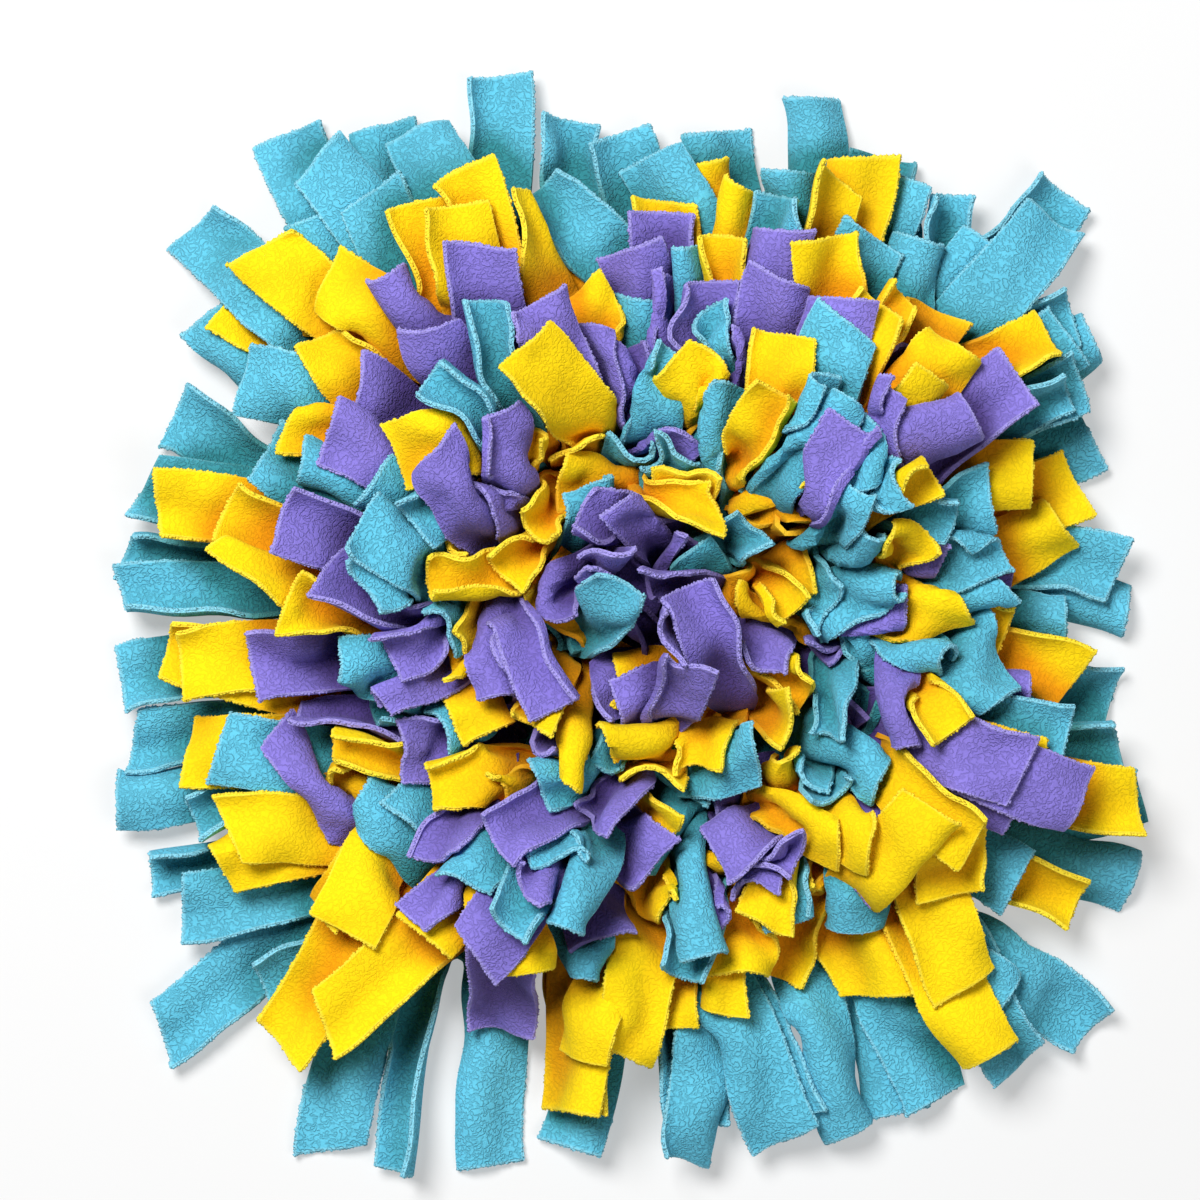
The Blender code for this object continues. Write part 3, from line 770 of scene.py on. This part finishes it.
# %% [markdown]
# ## Let the cloth make room
#
# Many of these tails would cross, so they start as narrow ribbons, which hardly do, and then grow to
# their full width. Every point keeps its distance to its neighbours in the same tail, and points of
# two different tails must not come nearer than the cloth allows. Both rules are applied again and
# again in small steps, which is how simple cloth simulations work. Tails that are short of room lean
# and curl, as in the real heap. Rows near the fixings stay where they are.

# %% A tail keeps its shape
def correction(gap, rest, strength):
    """How far each end of a gap has to move to bring it back towards its length at rest."""
    length = np.linalg.norm(gap, axis=-1, keepdims=True)
    return strength * gap * (length - rest) / (2 * length + 1e-9)


def hold_square(points, rests, strength):
    """Keeps both diagonals of every mesh of the grid, so that the cloth doesn't shear."""
    for near, far, rest in ((points[:, :-1, :-1], points[:, 1:, 1:], rests[0]),
                            (points[:, :-1, 1:], points[:, 1:, :-1], rests[1])):
        move = correction(far - near, rest, strength)
        near += move
        far -= move


def hold(points, rest, axis, step, strength):
    """Brings points that are a step apart along the axis back to their distance at rest."""
    points = np.moveaxis(points, axis, 0)
    rest = np.moveaxis(rest, axis, 0)
    numbers = np.arange(points.shape[0] - step)
    for turn in (0, 1):
        near = numbers[(numbers // step) % 2 == turn]
        move = correction(points[near + step] - points[near], rest[near], strength)
        points[near] += move
        points[near + step] -= move


halved = correction(np.array([[2.0, 0.0, 0.0]]), 1.0, 1.0)
print("each end of a gap of twice its rest moves by", round(float(halved[0, 0]), 3), "of the rest")

# %% Points that are near each other
BOX_SHIFT = 1000  # keeps the numbers of the boxes above 0
BOX_ROW = 4000  # more boxes than the heap has in a row
BOXES = [(0, 0, 0), (0, 0, 1)]  # a box itself, and half of the 26 boxes round it
BOXES += [(0, 1, k) for k in (-1, 0, 1)] + [(1, j, k) for j in (-1, 0, 1) for k in (-1, 0, 1)]


def close_pairs(points, reach):
    """Numbers of the points that lie within reach of each other, found by sorting them into boxes."""
    box = np.floor(points / reach).astype(np.int64) + BOX_SHIFT
    key = (box[:, 0] * BOX_ROW + box[:, 1]) * BOX_ROW + box[:, 2]
    order = np.argsort(key, kind="stable")
    key = key[order]
    firsts, seconds = [], []
    for dx, dy, dz in BOXES:
        wanted = key + (dx * BOX_ROW + dy) * BOX_ROW + dz
        start = np.searchsorted(key, wanted, "left")
        stop = np.searchsorted(key, wanted, "right")
        if (dx, dy, dz) == (0, 0, 0):
            start = np.arange(len(key)) + 1
        many = np.maximum(stop - start, 0)
        first = np.repeat(np.arange(len(key)), many)
        second = np.arange(many.sum()) - np.repeat(np.cumsum(many) - many, many) + np.repeat(start, many)
        firsts.append(order[first])
        seconds.append(order[second])
    return np.concatenate(firsts), np.concatenate(seconds)


pairs = close_pairs(np.array([[0.0, 0.0, 0.0], [0.5, 0.5, 0.0], [3.0, 0.0, 0.0]]), 1.0)
print("of three points,", len(pairs[0]), "pair is near")


# %% Two tails keep apart
APART = 4.2 * MM  # nearest distance between points of different tails
WATCHED = 1.4 * APART  # pairs this near are watched until they are looked for again
LOOK_EVERY = 4  # rounds


def with_middles(grids):
    """The points of the grids in one list, and after them the middles of their meshes."""
    middles = (grids[:, 1:, 1:] + grids[:, :-1, 1:] + grids[:, 1:, :-1] + grids[:, :-1, :-1]) / 4
    return np.concatenate((grids.reshape(-1, grids.shape[-1]), middles.reshape(-1, grids.shape[-1])))


def shared_out(push, shape):
    """The push on each point, with half of the push on the middles round it."""
    points = int(np.prod(shape[:-1]))
    out = push[:points].reshape(shape)
    middles = push[points:].reshape(shape[0], shape[1] - 1, shape[2] - 1, 3) / 2
    for rows in (slice(1, None), slice(None, -1)):
        for columns in (slice(1, None), slice(None, -1)):
            out[:, rows, columns] += middles
    return out


def pushed_apart(points, one, two):
    """The push on each point from those it is too near to, and how many pairs are too near."""
    gap = points[two] - points[one]
    length = np.linalg.norm(gap, axis=1)
    near = length < APART
    first, second = one[near], two[near]
    move = gap[near] * ((APART - length[near]) / (2 * length[near] + 1e-9))[:, None]
    count = len(points)
    times = np.bincount(first, minlength=count) + np.bincount(second, minlength=count)
    push = np.stack([np.bincount(second, move[:, k], count) - np.bincount(first, move[:, k], count)
                     for k in range(3)], axis=1)
    return push / np.sqrt(np.maximum(times, 1))[:, None], int(near.sum())


print("points of two tails keep", APART / MM, "mm apart")

# %% The tails at rest
HELD = ((1, 1, 1.0), (2, 1, 1.0), (1, 2, 0.8), (2, 2, 0.8))  # axis, step, strength
FREE_FROM = round(0.35 * ROWS)  # first row that pushes others away
home = np.array(laid)
spine = home[:, :, COLUMNS // 2 : COLUMNS // 2 + 1]
rests = []
for axis, step, strength in HELD:
    ends = np.moveaxis(home, axis, 0)
    rest = np.linalg.norm(ends[step:] - ends[:-step], axis=-1, keepdims=True)
    rests.append((axis, step, strength, np.moveaxis(rest, 0, axis)))
squares = [np.linalg.norm(home[:, 1:, 1:] - home[:, :-1, :-1], axis=-1, keepdims=True),
           np.linalg.norm(home[:, 1:, :-1] - home[:, :-1, 1:], axis=-1, keepdims=True)]
numbers = np.arange(len(home))[:, None, None, None]
tail_of = np.broadcast_to(numbers, (*home[:, FREE_FROM:].shape[:3], 1))
tail_of = with_middles(tail_of)[:, 0].round().astype(int)
print(len(tail_of), "points push each other")

# %% Push the tails apart
ROUNDS = 230
NARROW = 0.2  # share of the width at the start
GROWN = 0.6  # share of the rounds after which the tails are as wide as cut
HOMING = 0.006  # how strongly a tail keeps to its place in the first round
TIRING = 0.8  # how much of that is lost by the last round
SHEAR = 0.4  # how strongly the meshes keep square
PINNED = 3  # rows that stay at the fixing
TOP = CAD_HIGH.z + 7 * MM
cloth = spine + NARROW * (home - spine)
for number in range(ROUNDS):
    wide = min(1.0, NARROW + (1 - NARROW) * number / (GROWN * ROUNDS))
    points = with_middles(cloth[:, FREE_FROM:])
    if number % LOOK_EVERY == 0:
        one, two = close_pairs(points, WATCHED)
        other = tail_of[one] != tail_of[two]
        one, two = one[other], two[other]
    push, touching = pushed_apart(points, one, two)
    cloth[:, FREE_FROM:] += shared_out(push, cloth[:, FREE_FROM:].shape)
    target = spine + wide * (home - spine)
    cloth += HOMING * (1 - TIRING * number / ROUNDS) * (target - cloth)
    for axis, step, strength, rest in rests:
        narrow = rest[:, :, COLUMNS // 2 : COLUMNS // 2 + 1] if axis == 1 else 0.0
        hold(cloth, narrow + wide * (rest - narrow), axis, step, strength)
    if wide == 1.0:
        hold_square(cloth, squares, SHEAR)
    cloth[:, :PINNED] = target[:, :PINNED]
    cloth[..., 2] = np.clip(cloth[..., 2], ground[cells(cloth)] + GAP + HALF, TOP)
    if number % 50 == 0:
        print("round", number, "-", touching, "pairs too near")
moved = np.linalg.norm(cloth - home, axis=-1).mean()
print("moved on average", round(float(moved) / MM, 2), "mm")

# %% [markdown]
# ## The fleece
#
# Polyester fleece has a short brushed pile that gathers into tiny worm-like clumps. Light slides off
# it softly, so it looks velvety and pale where the surface turns away, and its cut edges look paler
# and fuzzier than its face. One node group makes the clumps and the colour, for all three cloths,
# and paints light and shade into that colour: painted shade in the furrows of the pile, a painted
# highlight on the tops of the clumps and along the cut edges, and painted shade where the cloth lies
# deep in the heap.
# The sheen is a number on each shader's own socket.

# %% Helpers for trees of nodes
def new_tree(name, kind, inputs, outputs):
    """A tree of nodes of this kind, with named inputs and outputs."""
    tree = bpy.data.node_groups.new(name, kind)
    for in_out, sockets in (("INPUT", inputs), ("OUTPUT", outputs)):
        for socket, value in sockets.items():
            tree.interface.new_socket(socket, in_out=in_out, socket_type="NodeSocket" + value)
    return tree


def feed(tree, socket, value):
    """Links a socket to another one, or sets its value."""
    if isinstance(value, bpy.types.NodeSocket):
        tree.links.new(value, socket)
    else:
        socket.default_value = value


# %% The node group for the pile
CLUMPS = 430.0  # scales of the noise: clumps of 2 mm
FIBRES = 1500.0
PATCHES = 38.0  # where a hand brushed the pile one way or the other
EDGE_HIGHLIGHT = 0.6  # how much of the painted highlight of the cut edge an edge takes
CLUMP_HEIGHT = 0.7
FIBRE_HEIGHT = 0.5
COLOUR_SOCKETS = (0, 6, 7)  # of a Mix node: its factor and its two colours


def pile_group():
    tree = new_tree("fleece_pile", "ShaderNodeTree",
                    {"Dye": "Color", "Cut edge highlight": "Color", "Painted shade": "Color", "Furrow shade": "Float"},
                    {"Color": "Color", "Height": "Float"})
    nodes = tree.nodes
    given = nodes.new("NodeGroupInput").outputs
    place = nodes.new("ShaderNodeTexCoord")

    def noise(scale, detail):
        node = nodes.new("ShaderNodeTexNoise")
        node.inputs["Scale"].default_value = scale
        node.inputs["Detail"].default_value = detail
        feed(tree, node.inputs["Vector"], place.outputs["Object"])
        return node.outputs["Fac"]

    def blend(kind, amount, first, second):
        node = nodes.new("ShaderNodeMix")
        node.data_type = "RGBA"
        node.blend_type = kind
        for number, value in zip(COLOUR_SOCKETS, (amount, first, second)):
            feed(tree, node.inputs[number], value)
        return node.outputs[2]

    def ramp(source, low, high, dark, light):
        node = nodes.new("ShaderNodeMapRange")
        values = {"Value": source, "From Min": low, "From Max": high, "To Min": dark, "To Max": light}
        for name, value in values.items():
            feed(tree, node.inputs[name], value)
        return node.outputs["Result"]

    def measured(name):
        node = nodes.new("ShaderNodeAttribute")
        node.attribute_name = name
        return node.outputs["Fac"]

    def maths(operation, first, second):
        node = nodes.new("ShaderNodeMath")
        node.operation = operation
        for socket, value in zip(node.inputs, (first, second)):
            feed(tree, socket, value)
        return node.outputs[0]

    # the furrows wind along the line where the noise is halfway
    winding = maths("ABSOLUTE", maths("SUBTRACT", noise(CLUMPS, 1.5), 0.5), 0.0)
    clump = ramp(winding, 0.0, 0.1, 0.0, 1.0)
    # painted shade in the furrows of the pile, and a painted highlight of a tenth more on the tops of the
    # clumps
    shade = ramp(clump, 0.0, 1.0, given["Furrow shade"], 1.1)
    patch = ramp(noise(PATCHES, 1.0), 0.3, 0.7, 0.92, 1.08)
    # a painted highlight along the cut edges, and on the tufts that are set there
    edge = ramp(measured("cut_edge"), 0.0, 1.0, 0.0, EDGE_HIGHLIGHT)
    colour = blend("MULTIPLY", 1.0, given["Dye"], shade)
    colour = blend("MULTIPLY", 1.0, colour, patch)
    colour = blend("MIX", edge, colour, given["Cut edge highlight"])
    # painted shade where the cloth lies deep in the heap, its tint standing in for light bounced between
    # the cloths
    colour = blend("MULTIPLY", measured("deep"), colour, given["Painted shade"])
    fibre = maths("MULTIPLY", noise(FIBRES, 1.0), FIBRE_HEIGHT)
    height = maths("ADD", maths("MULTIPLY", clump, CLUMP_HEIGHT), fibre)

    out = nodes.new("NodeGroupOutput")
    feed(tree, out.inputs["Color"], colour)
    feed(tree, out.inputs["Height"], height)
    return tree


PILE = pile_group()
print("pile group:", len(PILE.nodes), "nodes")

# %% The three cloths
# colour: the dye, the painted highlight of its cut edge and the painted shade deep in the heap, as
# red, green and blue; then the painted shade in the furrows, 1 for none, and how strongly the pile
# stands out
CLOTHS = {
    "teal": ((0.112, 0.49, 0.67), (0.34, 0.73, 0.86), (0.26, 0.44, 0.37), 0.86, 0.85),
    "yellow": ((0.90, 0.63, 0.003), (1.0, 0.82, 0.07), (0.76, 0.40, 0.15), 0.97, 0.45),
    "purple": ((0.225, 0.178, 0.60), (0.47, 0.42, 0.86), (0.33, 0.26, 0.34), 0.90, 0.75),
}
PILE_DEPTH = 0.7 * MM


def fleece(name, dye, cut, deep, furrow, relief):
    made = bpy.data.materials.new(name)
    made.use_nodes = True
    nodes, links = made.node_tree.nodes, made.node_tree.links
    shader = nodes["Principled BSDF"]
    shader.inputs["Roughness"].default_value = 0.92
    shader.inputs["Specular IOR Level"].default_value = 0.2
    shader.inputs["Sheen Weight"].default_value = 0.2
    shader.inputs["Sheen Roughness"].default_value = 0.5
    shader.inputs["Sheen Tint"].default_value = (*cut, 1.0)
    pile = nodes.new("ShaderNodeGroup")
    pile.node_tree = PILE
    pile.inputs["Dye"].default_value = (*dye, 1.0)
    pile.inputs["Cut edge highlight"].default_value = (*cut, 1.0)
    pile.inputs["Painted shade"].default_value = (*deep, 1.0)
    pile.inputs["Furrow shade"].default_value = furrow
    bump = nodes.new("ShaderNodeBump")
    bump.inputs["Strength"].default_value = relief
    bump.inputs["Distance"].default_value = PILE_DEPTH
    links.new(pile.outputs["Height"], bump.inputs["Height"])
    links.new(bump.outputs["Normal"], shader.inputs["Normal"])
    links.new(pile.outputs["Color"], shader.inputs["Base Color"])
    return made


FLEECE = {colour: fleece(colour + "_fleece_cloth", *values) for colour, values in CLOTHS.items()}
print("cloths:", ", ".join(FLEECE))

# %% [markdown]
# ## From grid to cloth
#
# The settled grids are coarse. A spline through their points gives the finer grid of the cloth, and
# small waves are added, their phases drawn from the seeded generator. The result is an open sheet,
# so Solidify gives it its thickness and Bevel rounds the cut edges. A number on each point says how
# near it is to a cut edge, for the painted highlight there, and another how deep it lies in the heap,
# for the painted shade there. The modifiers are turned into a plain mesh.

# %% A finer grid
FINE_ROWS = np.append(np.linspace(0.0, 1.0, 27)[:-1], (0.985, 1.0))
FINE_COLUMNS = np.array((-1.0, -0.95, -0.75, -0.5, -0.25, 0.0, 0.25, 0.5, 0.75, 0.95, 1.0))
WAVE = 0.5 * MM
OFF_FLOOR = 0.4 * MM  # room for the tufts under the lowest edges


def spline_weights(count, places):
    """How much each of the count + 1 knots, from 0 to 1, carries at each place (Catmull-Rom)."""
    weights = np.zeros((len(places), count + 1))
    for row, place in enumerate(places):
        left = min(int(place * count), count - 1)
        t = place * count - left
        four = (-t + 2 * t**2 - t**3, 2 - 5 * t**2 + 3 * t**3, t + 4 * t**2 - 3 * t**3, t**3 - t**2)
        for step, share in zip((-1, 0, 1, 2), four):
            knot = left + step
            inside = min(max(knot, 0), count)
            weights[row, inside] += share / 2
            if knot != inside:  # beyond the end the cloth goes straight on
                weights[row, inside] += share / 2
                weights[row, inside + (1 if knot < 0 else -1)] -= share / 2
    return weights


ALONG = spline_weights(ROWS, FINE_ROWS)
OVER = spline_weights(COLUMNS, (FINE_COLUMNS + 1) / 2)


def finer(grid):
    """The grid with more rows and columns, and with small waves."""
    grid = np.einsum("ar,bc,rcx->abx", ALONG, OVER, grid)
    u, t = FINE_ROWS[:, None], FINE_COLUMNS[None, :]
    phases = random.uniform(0, 2 * math.pi, 4)
    wave = np.sin(9.0 * u + 2.2 * t + phases[0]) + 0.7 * np.sin(17.0 * u - 3.0 * t + phases[1])
    wave += 1.2 * t * np.sin(13.0 * u + phases[2]) + 0.8 * t**2 * np.sin(24.0 * u + phases[3])
    grid = grid + normals(grid) * (WAVE * wave * smooth_step(u / 0.4))[..., None]
    grid[..., 2] = np.maximum(grid[..., 2], ground[cells(grid)] + HALF + OFF_FLOOR)
    return grid


print("a tail of cloth has", len(FINE_ROWS), "rows of", len(FINE_COLUMNS), "points")

# %% How deep the cloth lies in the heap, for the painted shade there
DEEP = 22 * MM
SHALLOW = 2 * MM  # this far down counts as the top
roof = ground.copy()
for grid in cloth:
    fine = halfway(halfway(grid[FREE_FROM:]))
    np.maximum.at(roof, cells(fine), fine[..., 2])
roof = smoothed(widest(roof, 4), 5)


def depth_at(grid):
    """0 where the cloth is on top of the heap, 1 where it lies deep down in it."""
    here = cells(grid - (*BASE_MIDDLE, 0.0))
    return smooth_step((roof[here] - grid[..., 2] - SHALLOW) / DEEP)


print("top of the cloth, smoothed:", round(roof.max() / MM, 1), "mm")


# %% An open sheet
def sheet_mesh(grids):
    """One open mesh of all these grids, facing up, with the attributes cut_edge and deep."""
    bm = bmesh.new()
    cut = bm.verts.layers.float.new("cut_edge")
    low = bm.verts.layers.float.new("deep")
    for grid in grids:
        rows, columns = grid.shape[:2]
        points = [[bm.verts.new(grid[r, c]) for c in range(columns)] for r in range(rows)]
        sunk = depth_at(grid)
        for r in range(rows):
            for c in range(columns):
                # a whole strip has two cut ends, a single tail has one
                rim = c in (0, columns - 1) or r == rows - 1 or (r == 0 and rows > len(FINE_ROWS))
                points[r][c][cut] = 1.0 if rim else 0.0
                points[r][c][low] = sunk[r, c]
        normal = np.cross(np.gradient(grid, axis=0), np.gradient(grid, axis=1))[..., 2].mean()
        for r in range(rows - 1):
            for c in range(columns - 1):
                corner = (points[r][c], points[r + 1][c], points[r + 1][c + 1], points[r][c + 1])
                bm.faces.new(corner if normal > 0 else corner[::-1])
    mesh = bpy.data.meshes.new("open_sheet")
    bm.to_mesh(mesh)
    bm.free()
    return mesh


# %% From an open sheet to a piece of cloth
EDGE_ROUNDING = 0.6 * MM


def into_scene(name, data):
    """A new object with this data, in the scene."""
    made = bpy.data.objects.new(name, data)
    bpy.context.scene.collection.objects.link(made)
    return made


def made_plain(work, name):
    """Turns an object with live modifiers into a plain one, and removes the first."""
    depsgraph = bpy.context.evaluated_depsgraph_get()
    mesh = bpy.data.meshes.new_from_object(work.evaluated_get(depsgraph))
    bpy.data.objects.remove(work)
    mesh.name = name
    return into_scene(name, mesh)


def make_cloth(name, grids, fabric):
    sheet = into_scene(name + "_open", sheet_mesh(grids))
    wall = sheet.modifiers.new("thickness", "SOLIDIFY")
    wall.thickness = FLEECE_THICK
    wall.offset = 0.0
    soft = sheet.modifiers.new("cut_edges", "BEVEL")
    soft.width = EDGE_ROUNDING
    soft.segments = 2
    soft.limit_method = "ANGLE"
    soft.angle_limit = math.radians(50)
    made = made_plain(sheet, name)
    made.data.materials.clear()
    made.data.materials.append(fabric)
    made.data.shade_smooth()
    return made


# %% What a piece measures
def cut_length(grid):
    """The length of the cloth along its middle, before it was laid."""
    middle = grid[:, grid.shape[1] // 2]
    return float(np.linalg.norm(np.diff(middle, axis=0), axis=1).sum())


def triangles_in(piece):
    return sum(len(face.vertices) - 2 for face in piece.data.polygons)


print("the first tail was cut", round(cut_length(cloth[0]) / MM), "mm long")

# %% The strips that stand for the solids
tails_of = {}
for grid, (colour, node) in zip(cloth, owner):
    tails_of.setdefault((colour, node), []).append(finer(grid) + (*BASE_MIDDLE, 0.0))
triangles = 0
for (colour, node), grids in tails_of.items():
    if node is None:
        continue
    grid = np.concatenate((grids[0][:0:-1, ::-1], grids[1]))
    piece = make_cloth(node + "_fleece", [grid], FLEECE[colour])
    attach(piece, "root")
    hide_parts(node)
    triangles += triangles_in(piece)
print(len(STRIPS), "strips,", triangles, "triangles")

# %% The tails between them, joined by colour
for colour in FLEECE:
    grids = tails_of[colour, None]
    piece = make_cloth(colour + "_tails_between", grids, FLEECE[colour])
    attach(piece, "root")
    print(colour, len(grids), "tails,", triangles_in(piece), "triangles")

# %% [markdown]
# ## Pile on the cut edges
#
# Fleece doesn't fray, but its pile stands out along every cut, so an edge looks nubby and soft. That
# is thousands of small tufts along a path, which is work for Geometry Nodes: the cut edges become
# curves, points are set along them, and each point gets a small tuft of random size that lies along
# the edge. Edges that lie deep in the heap are left out, because nobody sees them.

# %% The tree that sets tufts along the cut edges
TUFT_SMALLEST = (0.6, 0.6, 0.9)  # shares of its radius; the last is along the edge
TUFT_LARGEST = (1.2, 1.2, 1.9)


def edge_pile_tree():
    tree = new_tree("pile_on_cut_edges", "GeometryNodeTree",
                    {"Sheet": "Geometry", "Spacing": "Float", "Tuft radius": "Float", "Stray": "Float",
                     "Deepest": "Float", "Seed": "Int", "Cloth": "Material"},
                    {"Tufts": "Geometry"})
    nodes, links = tree.nodes, tree.links
    given = nodes.new("NodeGroupInput").outputs

    def step(kind, **inputs):
        node = nodes.new(kind)
        for name, value in inputs.items():
            feed(tree, node.inputs[name], value)
        return node

    def carried(name):
        node = step("GeometryNodeInputNamedAttribute", Name=name)
        node.data_type = "FLOAT"
        return node.outputs["Attribute"]

    def compared(value, operation, limit):
        node = nodes.new("FunctionNodeCompare")
        node.data_type = "FLOAT"
        node.operation = operation
        feed(tree, node.inputs[0], value)
        feed(tree, node.inputs[1], limit)
        return node.outputs[0]

    def drawn(low, high, offset):
        """A random vector for each tuft, between low and high."""
        node = nodes.new("FunctionNodeRandomValue")
        node.data_type = "FLOAT_VECTOR"
        node.inputs[0].default_value = low
        node.inputs[1].default_value = high
        seed = step("ShaderNodeMath", Value=given["Seed"])
        seed.inputs[1].default_value = offset
        links.new(seed.outputs[0], node.inputs["Seed"])
        return node.outputs[0]

    both = step("FunctionNodeBooleanMath")
    links.new(compared(carried("cut_edge"), "GREATER_THAN", 0.99), both.inputs[0])
    links.new(compared(carried("deep"), "LESS_THAN", given["Deepest"]), both.inputs[1])
    edges = step("GeometryNodeMeshToCurve", Mesh=given["Sheet"], Selection=both.outputs[0])
    points = nodes.new("GeometryNodeCurveToPoints")
    points.mode = "LENGTH"
    links.new(edges.outputs[0], points.inputs["Curve"])
    links.new(given["Spacing"], points.inputs["Length"])
    stray = nodes.new("ShaderNodeVectorMath")
    stray.operation = "SCALE"
    links.new(drawn((-1, -1, -1), (1, 1, 1), 1), stray.inputs[0])
    links.new(given["Stray"], stray.inputs["Scale"])
    moved = step("GeometryNodeSetPosition", Geometry=points.outputs["Points"], Offset=stray.outputs[0])
    tuft = step("GeometryNodeMeshUVSphere", Segments=4, Rings=2, Radius=given["Tuft radius"])
    set_out = step("GeometryNodeInstanceOnPoints", Points=moved.outputs[0], Instance=tuft.outputs["Mesh"],
                   Rotation=points.outputs["Rotation"], Scale=drawn(TUFT_SMALLEST, TUFT_LARGEST, 2))
    real = step("GeometryNodeRealizeInstances", Geometry=set_out.outputs[0])
    # each tuft is marked as a cut edge, so that it takes the painted highlight of the cut edges
    marked_for_edge_highlight = step("GeometryNodeStoreNamedAttribute", Geometry=real.outputs[0], Name="cut_edge")
    marked_for_edge_highlight.data_type = "FLOAT"
    marked_for_edge_highlight.domain = "POINT"
    marked_for_edge_highlight.inputs["Value"].default_value = 1.0
    smooth = step("GeometryNodeSetShadeSmooth", Geometry=marked_for_edge_highlight.outputs[0])
    dyed = step("GeometryNodeSetMaterial", Geometry=smooth.outputs[0], Material=given["Cloth"])
    links.new(dyed.outputs[0], nodes.new("NodeGroupOutput").inputs["Tufts"])
    return tree


EDGE_PILE = edge_pile_tree()
print("edge pile tree:", len(EDGE_PILE.nodes), "nodes")


# %% Set the tufts, cloth by cloth
TUFT_SPACING = 1.5 * MM
TUFT_RADIUS = 0.95 * MM
TUFT_STRAY = 0.3 * MM  # how far a tuft may be off the edge
TUFT_DEEPEST = 0.5  # edges that are deeper in the heap than this get none


def set_inputs(modifier, **values):
    """Sets the inputs of a tree by the identifiers of its sockets."""
    for socket in modifier.node_group.interface.items_tree:
        if socket.in_out == "INPUT" and socket.name in values:
            modifier[socket.identifier] = values[socket.name]


for number, colour in enumerate(FLEECE):
    grids = [grid for (dye, node), tails in tails_of.items() if dye == colour for grid in tails]
    name = colour + "_pile_on_cut_edges"
    work = into_scene(name + "_work", sheet_mesh(grids))
    modifier = work.modifiers.new("pile_on_cut_edges", "NODES")
    modifier.node_group = EDGE_PILE
    set_inputs(modifier, **{"Spacing": TUFT_SPACING, "Tuft radius": TUFT_RADIUS, "Stray": TUFT_STRAY,
                            "Deepest": TUFT_DEEPEST, "Seed": number, "Cloth": FLEECE[colour]})
    piece = made_plain(work, name)
    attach(piece, "root")
    print(colour, triangles_in(piece), "triangles of tufts")

# %% [markdown]
# ## The base
#
# The base is the solid itself: a thin sheet of black rubber. Almost nothing of it shows, so it only
# gets a finish: a fine grain and a slight unevenness of the black.

# %% Finish the base
rubber = bpy.data.materials.new("base_rubber_sheet")
rubber.use_nodes = True
nodes, links = rubber.node_tree.nodes, rubber.node_tree.links
shader = nodes["Principled BSDF"]
shader.inputs["Roughness"].default_value = 0.75
place = nodes.new("ShaderNodeTexCoord")
grain = nodes.new("ShaderNodeTexNoise")
grain.inputs["Scale"].default_value = 700.0
links.new(place.outputs["Object"], grain.inputs["Vector"])
tone = nodes.new("ShaderNodeMapRange")
tone.inputs["To Min"].default_value = 0.02
tone.inputs["To Max"].default_value = 0.06
links.new(grain.outputs["Fac"], tone.inputs["Value"])
links.new(tone.outputs["Result"], shader.inputs["Base Color"])
bump = nodes.new("ShaderNodeBump")
bump.inputs["Strength"].default_value = 0.3
bump.inputs["Distance"].default_value = 0.3 * MM
links.new(grain.outputs["Fac"], bump.inputs["Height"])
links.new(bump.outputs["Normal"], shader.inputs["Normal"])
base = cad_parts["base_mat"]
base.data.materials.clear()
base.data.materials.append(rubber)
print("base finished")

# %% [markdown]
# ## The studio
#
# The mat lies on a plain pale floor and is seen straight from above, from far enough away that the
# heap hardly leans outwards. One large soft light to the upper left gives the folds their shape, and
# a weak wide one opposite keeps the shadows open. The floor glows a little, as white paper does under
# studio lights, so that it stays nearly white under the mat's shadow.

# %% The floor
FLOOR_HALF = 3.0
floor_mesh = bpy.data.meshes.new("floor")
bm = bmesh.new()
bmesh.ops.create_grid(bm, x_segments=1, y_segments=1, size=FLOOR_HALF)
bm.to_mesh(floor_mesh)
bm.free()
floor = into_scene("floor", floor_mesh)
paper = bpy.data.materials.new("paper")
paper.use_nodes = True
white = paper.node_tree.nodes["Principled BSDF"]
white.inputs["Base Color"].default_value = (0.47, 0.47, 0.47, 1.0)
white.inputs["Roughness"].default_value = 0.9
white.inputs["Emission Color"].default_value = (1.0, 1.0, 1.0, 1.0)
white.inputs["Emission Strength"].default_value = 0.39
floor_mesh.materials.append(paper)
print("floor", [round(side, 2) for side in floor.dimensions[:2]])

# %% The camera
VIEW_WIDTH = 540 * MM
VIEW_FROM = 2.2
view_middle = BASE_MIDDLE + np.array((-12.6, 9.0)) * MM  # the mat isn't quite central in the view
camera = into_scene("camera", bpy.data.cameras.new("camera"))
camera.data.lens = camera.data.sensor_width * VIEW_FROM / VIEW_WIDTH
camera.location = (*view_middle, VIEW_FROM)
bpy.context.scene.camera = camera
print("camera", [round(v, 3) for v in camera.location], "lens", round(camera.data.lens))

# %% The lights
AIM = Vector((0.0, 0.0, 0.03))


def lamp(name, place, size, power):
    """A round soft light that points at the heap: metres and watts."""
    light = bpy.data.lights.new(name, "AREA")
    light.shape = "DISK"
    light.size = size
    light.energy = power
    made = into_scene(name, light)
    made.location = place
    made.rotation_mode = "QUATERNION"
    made.rotation_quaternion = (AIM - made.location).to_track_quat("-Z", "Y")
    return made


lamps = [lamp("key", (-1.05, 1.35, 2.7), 1.5, 128), lamp("fill", (1.5, -1.2, 2.7), 1.8, 27)]
sky = bpy.data.worlds.new("sky")
sky.use_nodes = True
sky.node_tree.nodes["Background"].inputs["Color"].default_value = (1.0, 1.0, 1.0, 1.0)
sky.node_tree.nodes["Background"].inputs["Strength"].default_value = 0.05
bpy.context.scene.world = sky
bpy.context.scene.view_settings.view_transform = "Standard"
print(len(lamps), "lights, the key", round((lamps[0].location - AIM).length, 2), "m off")

# %% [markdown]
# ## Finish
#
# The box of the solids is printed. Cloth may stand a little proud.

# %% The box of the solids
print("solids", [round(v, 4) for v in (*CAD_LOW, *CAD_HIGH)])
